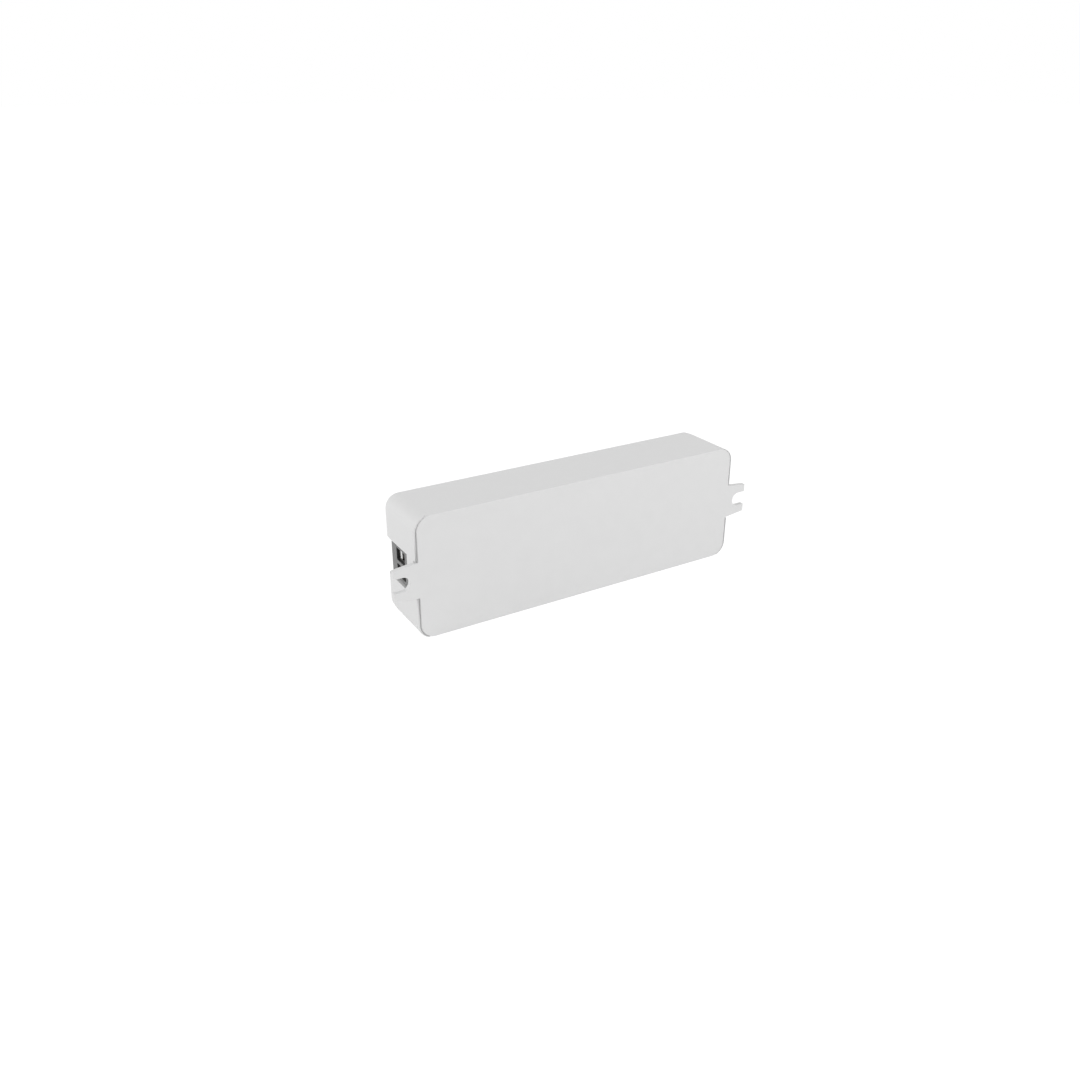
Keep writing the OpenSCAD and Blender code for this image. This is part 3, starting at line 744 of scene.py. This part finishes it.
def piece(
    mesh: Shape,
    name: str,
    finish: Finish,
    body: Body = Body.CASE,
    stands_for: Sequence[str] = (),
    smooth: float = 40.0,
) -> bpy.types.Object:
    """Turns a finished shape into a piece of the model.

    Args:
        mesh: The shape, in the frame; it is freed.
        name: Name of the piece.
        finish: The piece's finish, whose material it gets.
        body: The body that the piece rides on.
        stands_for: CAD nodes that the piece replaces.
        smooth: Angle, in degrees, above which an edge stays sharp.

    Returns:
        The piece.
    """
    data = written(mesh, name)
    data.shade_smooth()
    data.set_sharp_from_angle(angle=math.radians(smooth))
    data.materials.append(finish.material())
    made = linked(name, data)
    normals = made.modifiers.new("even shading", "WEIGHTED_NORMAL")
    normals.keep_sharp = True
    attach(made, body.value)
    if stands_for:
        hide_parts(*stands_for)
    LOG.info("piece %s: %d faces", name, len(data.polygons))
    return made


@dataclass(frozen=True)
class Eased:
    """A CAD shape that is shown with rounded edges."""

    node: str
    finish: Finish
    width: float
    body: Body = Body.CASE
    segments: int = 2

    def build(self) -> bpy.types.Object:
        """Makes the piece that replaces the CAD node."""
        shape = ease(merged_copy(self.node), self.width, self.segments)
        return piece(shape, f"{self.node}_eased", self.finish, self.body, (self.node,))


@dataclass(frozen=True)
class Screws:
    """A CAD node's screws: their heads as in the CAD, on shanks with real threads."""

    node: str
    head: float
    major: float
    minor: float
    pitch: float
    edge: float = 0.10 * MM

    def build(self) -> bpy.types.Object:
        """Makes the screws.

        Returns:
            The piece that replaces the CAD node.
        """
        places = seats(self.node)
        heads = merged_copy(self.node)
        trim(heads, (0.0, places[0].low.y + self.head, 0.0), (0.0, 1.0, 0.0))
        close(heads)
        shanks = [
            threaded(self.major, self.minor, self.pitch, seat.size.y - self.head, seat.foot)
            for seat in places
        ]
        shape = joined([ease(heads, self.edge), *shanks])
        return piece(shape, f"{self.node}_threaded", SCREW, stands_for=(self.node,), smooth=35.0)


@dataclass
class Enclosure:
    """The deep cover and the base plate with its two ears."""

    edge: float = 0.18 * MM
    plate_edge: float = 0.12 * MM
    crease_depth: float = 3.5 * MM
    crease_edge: float = 0.25 * MM
    crease_turn: float = 3.0
    near_crease: float = 0.02 * MM
    rim_height: float = 1.6 * MM

    def build(self) -> None:
        """Makes the cover, whose leaning band keeps a crisp edge, and the base plate."""
        shell = merged_copy("cover")
        crease = CAD_BOX[0].y + self.crease_depth
        rim = CAD_BOX[1].y - self.rim_height
        ease(
            shell, self.crease_edge, turn=self.crease_turn,
            chosen=lambda edge: all(abs(vert.co.y - crease) < self.near_crease for vert in edge.verts),
        )
        ease(shell, self.edge, 3, chosen=lambda edge: all(vert.co.y < rim for vert in edge.verts))
        piece(shell, "cover_moulded", SHELL, stands_for=("cover",))
        Eased("base_plate", SHELL, self.plate_edge).build()


@dataclass
class TerminalBlock:
    """One row of screw terminals."""

    prefix: str
    housing_edge: float = 0.15 * MM
    cage_edge: float = 0.08 * MM
    pin_edge: float = 0.06 * MM

    def build(self) -> None:
        """Makes the housing, cages, screws and pins."""
        Eased(f"{self.prefix}_housing", BLOCK, self.housing_edge).build()
        Eased(f"{self.prefix}_cages", NICKEL, self.cage_edge).build()
        Screws(
            f"{self.prefix}_screws", head=1.95 * MM, major=2.9 * MM, minor=2.4 * MM, pitch=0.5 * MM
        ).build()
        Eased(f"{self.prefix}_pins", PIN, self.pin_edge).build()


@dataclass
class LearningKey:
    """The key, and the small switch below it."""

    rivet_in: float = 0.75 * MM

    def build(self) -> None:
        """Makes the key and its switch."""
        key = seats("learning_key")[0]
        profile = (
            (0.0, 0.0), (1.85, 0.0), (2.0, 0.15), (2.0, 1.25), (2.7, 1.25), (2.8, 1.35),
            (2.8, 1.95), (2.7, 2.05), (2.0, 2.05), (2.0, 3.35), (1.96, 3.48), (1.86, 3.57),
            (1.72, 3.6), (1.3, 3.56), (0.7, 3.5), (0.0, 3.48),
        )
        shape = turned(profile, key.foot, steps=64)
        piece(shape, "key_turned", KEY, Body.KEY, ("learning_key",), smooth=30.0)
        plunger = seats("switch_plunger")[0]
        high = plunger.size.y / MM
        profile = ((0.0, 0.0), (1.6, 0.0), (1.75, 0.15), (1.75, high - 0.2), (1.55, high), (0.0, high))
        piece(turned(profile, plunger.foot), "plunger_turned", MOULD, Body.KEY, ("switch_plunger",))
        Eased("switch_housing", MOULD, width=0.12 * MM).build()
        Eased("switch_legs", TIN, width=0.08 * MM).build()
        self.rivet_frame()

    def rivet_frame(self) -> None:
        """Makes the switch's metal frame with its four rivet heads."""
        frame_seat = seats("switch_frame")[0]
        reach = frame_seat.size.x / 2 - self.rivet_in
        dome = ((0.0, -0.1), (0.42, -0.1), (0.42, 0.08), (0.34, 0.16), (0.18, 0.21), (0.0, 0.22))
        rivets = [
            turned(dome, frame_seat.top + Vector((side * reach, 0.0, end * reach)), steps=20)
            for side in (-1, 1)
            for end in (-1, 1)
        ]
        plate = ease(merged_copy("switch_frame"), width=0.05 * MM)
        piece(joined([plate, *rivets]), "switch_frame_riveted", TIN, stands_for=("switch_frame",))


@dataclass
class LampWindow:
    """The running lamp and the light pipe above it."""

    terminal_length: float = 0.38 * MM
    terminal_height: float = 0.30 * MM
    end_proud: float = 0.01 * MM
    side_proud: float = 0.02 * MM

    def build(self) -> None:
        """Makes the light pipe and the lamp with its two terminals."""
        pipe = seats("light_pipe")[0]
        high = pipe.size.y / MM
        profile = (
            (0.0, 0.0), (0.9, 0.0), (1.0, 0.1), (1.0, high - 2.4), (1.5, high - 2.4), (1.6, high - 2.3),
            (1.6, high - 1.5), (1.5, high - 1.4), (1.0, high - 1.4), (1.0, high - 0.14), (0.9, high - 0.05),
            (0.5, high - 0.01), (0.0, high),
        )
        piece(turned(profile, pipe.foot, steps=48), "light_pipe_turned", ACRYLIC, stands_for=("light_pipe",))
        Eased("run_lamp", LAMP, width=0.08 * MM).build()
        lamp = seats("run_lamp")[0]
        piece(joined([self.terminal(lamp, side) for side in (-1, 1)]), "lamp_terminals", GOLD)

    def terminal(self, lamp: Seat, side: int) -> Shape:
        """Makes the lamp's terminal at one end.

        Args:
            lamp: The lamp's box.
            side: 1 for the end at the higher x, -1 for the other.

        Returns:
            The terminal, a little proud of the lamp.
        """
        outer = lamp.middle.x + side * (lamp.size.x / 2 + self.end_proud)
        inner = outer - side * self.terminal_length
        low = (min(outer, inner), lamp.high.y - self.terminal_height, lamp.low.z - self.side_proud)
        high = (max(outer, inner), lamp.high.y, lamp.high.z + self.side_proud)
        return ease(bar(low, high), width=0.05 * MM)


@dataclass(frozen=True)
class Ring:
    """The metal lining of a hole through a board, with a flat ring on both faces, in millimetres."""

    inner: float
    outer: float
    steps: int
    plating: float = 0.03
    proud: float = 0.03
    flat: float = 0.05

    def profile(self, deep: float) -> Profile:
        """Gives the lining's outline.

        Args:
            deep: Thickness of the board, in millimetres.

        Returns:
            Radius and height of each point, back to where it starts.
        """
        wall = self.inner + self.plating
        low, high = -self.proud, deep + self.proud
        return (
            (self.inner, low), (self.outer, low), (self.outer, low + self.flat), (wall, low + self.flat),
            (wall, high - self.flat), (self.outer, high - self.flat), (self.outer, high), (self.inner, high),
            (self.inner, low),
        )


@dataclass
class Board:
    """The circuit board with its pads, tracks and rings, its screws and the solder under it."""

    copper: float = 0.03 * MM
    margin: float = 0.12 * MM
    pin_ring: Ring = Ring(0.7, 1.5, 28)
    leg_ring: Ring = Ring(0.4, 0.85, 24)
    through_ring: Ring = Ring(0.15, 0.38, 16)
    through_count: int = 9
    through_step: float = 4.0 * MM
    through_aside: float = 15.6 * MM
    # Heights of the tracks over the board, as shares of the copper's
    track_rise: float = 0.5
    track_step: float = 0.06
    corner_rise: float = 0.94
    # Radius of a solder joint where it meets its pin, in millimetres
    neck: float = 0.75
    fillet_steps: int = 6
    padded: Sequence[str] = (
        "transistor_tabs", "transistor_legs", "regulator_legs", "controller_legs", "diode_legs", "fuse_caps",
        "chip_end_caps",
    )
    # Tracks in the flat frame, in millimetres: width, and the corners along x and across
    tracks: Sequence[tuple[float, tuple[Pair, ...]]] = (
        (2.2, ((52.0, 2.54), (47.5, 2.54), (47.5, 9.0), (46.3, 9.0))),
        (2.2, ((52.0, -2.54), (47.5, -2.54), (47.5, -9.5), (46.0, -9.5))),
        (1.6, ((40.2, 9.0), (33.0, 9.0), (33.0, 0.6), (31.6, 0.6))),
        (1.6, ((40.8, -9.5), (30.5, -9.5), (30.5, -5.5))),
        (0.5, ((25.0, 6.2), (14.4, 6.2), (14.4, 4.0))),
        (0.4, ((8.0, 7.2), (8.0, 9.6), (-1.0, 9.6))),
        (0.4, ((5.5, 0.8), (5.5, -2.6), (2.6, -2.6))),
        (0.4, ((1.0, 0.8), (1.0, -4.0), (-5.0, -4.0))),
        (0.4, ((-7.5, -4.0), (-20.0, -4.0), (-20.0, -3.5), (-24.8, -3.5))),
        (0.4, ((-3.8, -5.6), (-22.0, -5.6), (-22.0, -10.5), (-24.8, -10.5))),
        (0.4, ((-16.0, 13.8), (-22.0, 13.8), (-22.0, 10.5), (-24.8, 10.5))),
        (0.4, ((-19.6, 3.5), (-24.8, 3.5))),
        (2.6, ((-38.0, 10.5), (-44.0, 10.5), (-49.0, 10.16))),
        (2.6, ((-38.0, 3.5), (-49.0, 5.08))),
        (2.6, ((-38.0, -3.5), (-49.0, -5.08))),
        (2.6, ((-38.0, -10.5), (-44.0, -10.5), (-49.0, -10.16))),
    )

    def build(self) -> None:
        """Makes the board and what holds it."""
        Eased("circuit_board", BOARD, width=0.08 * MM, segments=1).build()
        Screws("board_screws", head=1.55 * MM, major=2.2 * MM, minor=1.7 * MM, pitch=0.8 * MM).build()
        board = seats("circuit_board")[0]
        pads = [self.pad(seat, board) for node in self.padded for seat in seats(node)]
        piece(joined(pads), "board_pads", TIN)
        tracks = [self.run(width, corners, board) for width, corners in self.tracks]
        piece(joined(tracks), "board_tracks", TRACK)
        piece(joined(self.rings(board)), "board_rings", GOLD)
        self.solder()

    def pad(self, seat: Seat, board: Seat) -> Shape:
        """Makes the pad below one foot.

        Args:
            seat: The foot's box.
            board: The board's box.

        Returns:
            The pad, in the frame.
        """
        wide = Vector((self.margin, 0.0, self.margin))
        low, high = seat.low - wide, seat.high + wide
        return bar((low.x, board.low.y - self.copper, low.z), (high.x, board.low.y + self.copper, high.z))

    def run(self, width: float, corners: Sequence[Pair], board: Seat) -> Shape:
        """Makes one track, with round ends, on the board's front.

        Args:
            width: The track's width, in millimetres.
            corners: Its corners, in millimetres.
            board: The board's box.

        Returns:
            The track, a little raised under the solder mask.
        """
        parts = []
        half = width * MM / 2
        for i, ((x0, y0), (x1, y1)) in enumerate(zip(corners, corners[1:])):
            step = Vector(((x1 - x0) * MM, 0.0, (y1 - y0) * MM))
            # Neighbours differ a little in height, so that no two faces share a plane
            rise = self.copper * (self.track_rise + self.track_step * (i % 2))
            flat = bar((0.0, -rise, -half), (step.length, rise, half))
            turn = Matrix.Rotation(-math.atan2(step.z, step.x), 4, "Y")
            start = Vector((x0 * MM, board.low.y, board.middle.z + y0 * MM))
            bmesh.ops.transform(flat, matrix=Matrix.Translation(start) @ turn, verts=flat.verts)
            parts.append(flat)
        for x, y in corners:
            start = Vector((x * MM, board.low.y + self.copper / 2, board.middle.z + y * MM))
            high = self.corner_rise * self.copper / MM
            disc = ((0.0, 0.0), (width / 2, 0.0), (width / 2, high), (0.0, high))
            parts.append(turned(disc, start, steps=24))
        return joined(parts)

    def rings(self, board: Seat) -> list[Shape]:
        """Makes the rings round the pins, on both faces, and the rows of through holes.

        Args:
            board: The board's box.

        Returns:
            The rings, in the frame.
        """
        pinned = (
            (self.pin_ring, seats("solder_joints")),
            (self.leg_ring, seats("capacitor_legs") + seats("switch_legs")),
        )
        spots = [(ring, seat.middle.x, seat.middle.z) for ring, found in pinned for seat in found]
        for i in range(self.through_count):
            x = (i - self.through_count // 2) * self.through_step
            spots += [(self.through_ring, x, board.middle.z + side * self.through_aside) for side in (-1, 1)]
        deep = board.size.y / MM
        return [turned(ring.profile(deep), Vector((x, board.high.y, z)), ring.steps) for ring, x, z in spots]

    def solder(self) -> None:
        """Makes the hollow-sided solder joints under the blocks' pins."""
        shapes = []
        for seat in seats("solder_joints"):
            high = seat.size.y / MM
            base = seat.size.x / MM / 2
            shares = [i / self.fillet_steps for i in range(self.fillet_steps + 1)]
            sides = [(self.neck + (base - self.neck) * share**3, high * share) for share in shares]
            shapes.append(turned(((0.0, -0.12), (0.5, -0.1), *sides, (0.0, high)), seat.foot, steps=28))
        piece(joined(shapes), "solder_fillets", SOLDER, stands_for=("solder_joints",), smooth=50.0)


def dimpled(node: str, edge: float, radius: float, inset: Pair) -> bpy.types.Object:
    """Makes moulded bodies, each with a shallow round dimple in its front face.

    Args:
        node: Name of the CAD node.
        edge: Width of the edges' rounding.
        radius: Radius of the dimple, in millimetres.
        inset: How far its middle is from the lower x edge, and from the lower
            z edge or, when nothing, from the middle, in millimetres.

    Returns:
        The piece.
    """
    cup = (
        (0.0, -0.1), (radius * 0.6, -0.1), (radius * 0.9, -0.07), (radius, 0.0), (radius, 1.0), (0.0, 1.0),
    )
    tools = []
    for seat in seats(node):
        z = seat.low.z + inset[1] * MM if inset[1] else seat.middle.z
        tools.append(turned(cup, Vector((seat.low.x + inset[0] * MM, seat.low.y, z)), steps=24))
    return piece(carved(ease(merged_copy(node), edge), tools), f"{node}_dimpled", MOULD, stands_for=(node,))


@dataclass
class PowerParts:
    """The bulk capacitor, the choke and regulator, the fuse, the diodes and the switching transistors."""

    choke_turns: int = 5
    groove_start: float = 0.55 * MM
    groove_end: float = 0.95 * MM
    groove_depth: float = 0.06 * MM
    clearance: float = 1.0 * MM

    def build(self) -> None:
        """Makes the large parts of the board."""
        self.capacitor()
        self.choke()
        for node, finish, width in (
            ("regulator_legs", TIN, 0.04 * MM),
            ("diode_legs", TIN, 0.05 * MM),
            ("input_fuse", CERAMIC, 0.08 * MM),
            ("fuse_caps", TIN, 0.12 * MM),
            ("transistor_tabs", TIN, 0.06 * MM),
            ("transistor_legs", TIN, 0.05 * MM),
        ):
            Eased(node, finish, width).build()
        dimpled("regulator_body", edge=0.06 * MM, radius=0.35, inset=(0.75, 0.8))
        dimpled("transistor_bodies", edge=0.12 * MM, radius=0.7, inset=(2.0, 0.0))
        self.diodes()

    def capacitor(self) -> None:
        """Makes the bulk capacitor, its film sleeve following the crimp."""
        Eased("capacitor_can", CAN, width=0.0).build()
        Eased("capacitor_bung", RUBBER, width=0.08 * MM).build()
        Eased("capacitor_legs", TIN, width=0.05 * MM).build()
        sleeve = seats("capacitor_sleeve")[0]
        high = sleeve.size.y / MM
        outer = (
            (4.02, 0.0), (4.15, 0.04), (4.15, 1.15), (4.06, 1.35), (3.9, 1.55), (3.86, 1.7), (3.9, 1.85),
            (4.06, 2.05), (4.15, 2.25), (4.15, high - 0.3), (4.06, high - 0.1), (3.9, high), (3.05, high),
            (3.0, high - 0.06),
        )
        inner = (
            (3.0, high - 0.14), (3.86, high - 0.14), (4.03, high - 0.35), (4.03, 2.25), (3.93, 2.05),
            (3.76, 1.7), (3.93, 1.35), (4.02, 1.15), (4.02, 0.0),
        )
        piece(
            turned((*outer, *inner), sleeve.foot, steps=64), "capacitor_sleeve_shrunk", SLEEVE,
            stands_for=("capacitor_sleeve",),
        )

    def choke(self) -> None:
        """Makes the choke's drum and its wound wire."""
        Eased("inductor_core", FERRITE, width=0.12 * MM).build()
        wound = seats("inductor_winding")[0]
        high = wound.size.y / MM
        wire = high / (self.choke_turns + 1) * MM
        under = ((1.7, 0.0), (2.15, 0.0), (2.15, high), (1.7, high), (1.7, 0.0))
        turns = coil((wound.size.x - wire) / 2, wire, self.choke_turns, wound.foot)
        piece(
            joined([turned(under, wound.foot), turns]), "inductor_winding_wound", COPPER,
            stands_for=("inductor_winding",),
        )

    def diodes(self) -> None:
        """Makes the diodes' bodies with the groove that marks one end."""
        bodies = ease(merged_copy("diode_bodies"), width=0.10 * MM)
        grooves = []
        for seat in seats("diode_bodies"):
            near = seat.low + Vector((self.groove_start, -self.clearance, -self.clearance))
            far = seat.low + Vector((self.groove_end, self.groove_depth, seat.size.z + self.clearance))
            grooves.append(bar(near, far))
        piece(carved(bodies, grooves), "diode_bodies_marked", MOULD, stands_for=("diode_bodies",))


@dataclass
class LogicParts:
    """The controller chip, the radio board and the small parts."""

    contacts: int = 8
    contact_step: float = 1.27 * MM
    contact_ring: Ring = Ring(0.28, 0.62, 16, plating=0.12, proud=0.02, flat=0.04)

    def build(self) -> None:
        """Makes the small parts of the board."""
        for node, finish, width in (
            ("controller_legs", TIN, 0.04 * MM),
            ("radio_crystal", TIN, 0.10 * MM),
            ("radio_antenna", GOLD, 0.02 * MM),
            ("chip_resistors", MOULD, 0.04 * MM),
            ("chip_capacitors", CHIP, 0.06 * MM),
            ("chip_end_caps", TIN, 0.06 * MM),
        ):
            Eased(node, finish, width).build()
        dimpled("controller_body", edge=0.06 * MM, radius=0.4, inset=(0.9, 0.85))
        dimpled("radio_chip", edge=0.05 * MM, radius=0.22, inset=(0.5, 0.5))
        self.radio()

    def radio(self) -> None:
        """Makes the radio board with the plated half holes along its two long edges."""
        board = seats("radio_board")[0]
        high = board.size.y / MM
        spots = [
            Vector((board.high.x - (i + 1) * self.contact_step, board.foot.y, edge))
            for i in range(self.contacts) for edge in (board.low.z, board.high.z)
        ]
        wall = self.contact_ring.inner + self.contact_ring.plating
        drill = ((0.0, -1.0), (wall, -1.0), (wall, high + 1.0), (0.0, high + 1.0))
        tools = [turned(drill, spot, steps=20) for spot in spots]
        body = carved(ease(merged_copy("radio_board"), width=0.05 * MM), tools)
        piece(body, "radio_board_notched", RADIO, stands_for=("radio_board",))
        rings = []
        for spot in spots:
            ring = turned(self.contact_ring.profile(high), Vector(), self.contact_ring.steps, angle=math.pi)
            way = Matrix.Rotation(math.pi if spot.z > board.middle.z else 0.0, 4, "Y")
            bmesh.ops.transform(ring, matrix=Matrix.Translation(spot) @ way, verts=ring.verts)
            rings.append(ring)
        piece(joined(rings), "radio_contacts", GOLD)


@dataclass(frozen=True)
class SoftLamp:
    """One square soft lamp of the studio."""

    name: str
    place: Point
    size: float
    power: float


@dataclass
class Studio:
    """The pale floor, the soft lamps, the sky and the camera."""

    aim: Vector = field(default_factory=lambda: Vector((0.0, CAD_BOX[1].y, 0.0)))
    azimuth: float = 149.0
    elevation: float = 25.1
    roll: float = 0.1
    distance: float = 308.5 * MM
    across: float = 13.90 * MM
    upward: float = -16.60 * MM
    lens: float = 32.9
    sky: float = 0.69
    floor_size: float = 6.0
    floor_drop: float = 0.02 * MM
    floor_grey: float = 0.86
    floor_white: float = 0.80
    floor_glow: float = 1.18
    lamps: Sequence[SoftLamp] = (
        SoftLamp("lamp right of the camera", (-0.45, 1.00, 0.35), 0.5, 3.6),
        SoftLamp("lamp at the far left", (1.10, -0.60, 0.50), 0.6, 4.65),
    )

    def build(self) -> None:
        """Makes the whole studio."""
        self.lay_floor()
        self.hang_sky()
        for lamp in self.lamps:
            self.hang_lamp(lamp)
        self.set_camera()
        bpy.context.scene.view_settings.view_transform = "Standard"

    def lay_floor(self) -> None:
        """Makes the floor, which looks white but keeps the shadow."""
        mesh = bmesh.new()
        bmesh.ops.create_grid(mesh, x_segments=1, y_segments=1, size=self.floor_size)
        bmesh.ops.translate(mesh, verts=mesh.verts, vec=(0.0, 0.0, -self.floor_drop))
        floor = linked("floor", written(mesh, "floor"))
        made = bpy.data.materials.new("pale floor")
        sheet = NodeSheet.blank(made)
        matt = sheet.put("ShaderNodeBsdfDiffuse", Color=(*grey(self.floor_grey), 1.0))
        white = sheet.put("ShaderNodeEmission", Strength=self.floor_glow)
        blend = sheet.put(
            "ShaderNodeMixShader",
            i0=sheet.maths("MULTIPLY", sheet.seen(), self.floor_white),
            i1=matt.outputs[0],
            i2=white.outputs[0],
        )
        sheet.put("ShaderNodeOutputMaterial", Surface=blend.outputs[0])
        floor.data.materials.append(made)

    def hang_sky(self) -> None:
        """Makes the even light from all round, which looks white itself."""
        world = bpy.data.worlds.new("sky")
        sheet = NodeSheet.blank(world)
        light = sheet.put(
            "ShaderNodeBackground",
            Color=(1.0, 1.0, 1.0, 1.0),
            Strength=sheet.between(sheet.seen(), self.sky, 1.0),
        )
        sheet.put("ShaderNodeOutputWorld", Surface=light.outputs[0])
        bpy.context.scene.world = world

    def hang_lamp(self, lamp: SoftLamp) -> None:
        """Hangs one lamp, aimed at the controller.

        Args:
            lamp: The lamp that is hung.
        """
        light = bpy.data.lights.new(lamp.name, "AREA")
        light.size = lamp.size
        light.energy = lamp.power
        hung = linked(lamp.name, light)
        hung.location = lamp.place
        hung.rotation_mode = "QUATERNION"
        hung.rotation_quaternion = (-Vector(lamp.place)).to_track_quat("-Z", "Y")

    def set_camera(self) -> None:
        """Puts the camera where the photograph was taken from."""
        turn, rise = math.radians(self.azimuth), math.radians(self.elevation)
        back = Vector((math.sin(turn) * math.cos(rise), -math.cos(turn) * math.cos(rise), math.sin(rise)))
        stance = (-back).to_track_quat("-Z", "Y") @ Quaternion((0.0, 0.0, 1.0), math.radians(self.roll))
        offset = stance @ Vector((-self.across, -self.upward, self.distance))
        lens = bpy.data.cameras.new("camera")
        lens.lens = self.lens
        lens.sensor_width = 36.0
        lens.clip_start = 0.01
        lens.clip_end = 20.0
        camera = linked("camera", lens)
        camera.location = self.aim + offset
        camera.rotation_mode = "QUATERNION"
        camera.rotation_quaternion = stance
        bpy.context.scene.camera = camera


def main() -> None:
    """Builds the studio and every sub-assembly, in order."""
    logging.basicConfig(level=logging.INFO, format="%(name)s: %(message)s")
    Studio().build()
    for part in (
        Enclosure(),
        TerminalBlock("input_terminal"),
        TerminalBlock("output_terminal"),
        LearningKey(),
        LampWindow(),
        Board(),
        PowerParts(),
        LogicParts(),
    ):
        part.build()
        LOG.info("built %s", type(part).__name__)


if __name__ == "__main__":
    main()
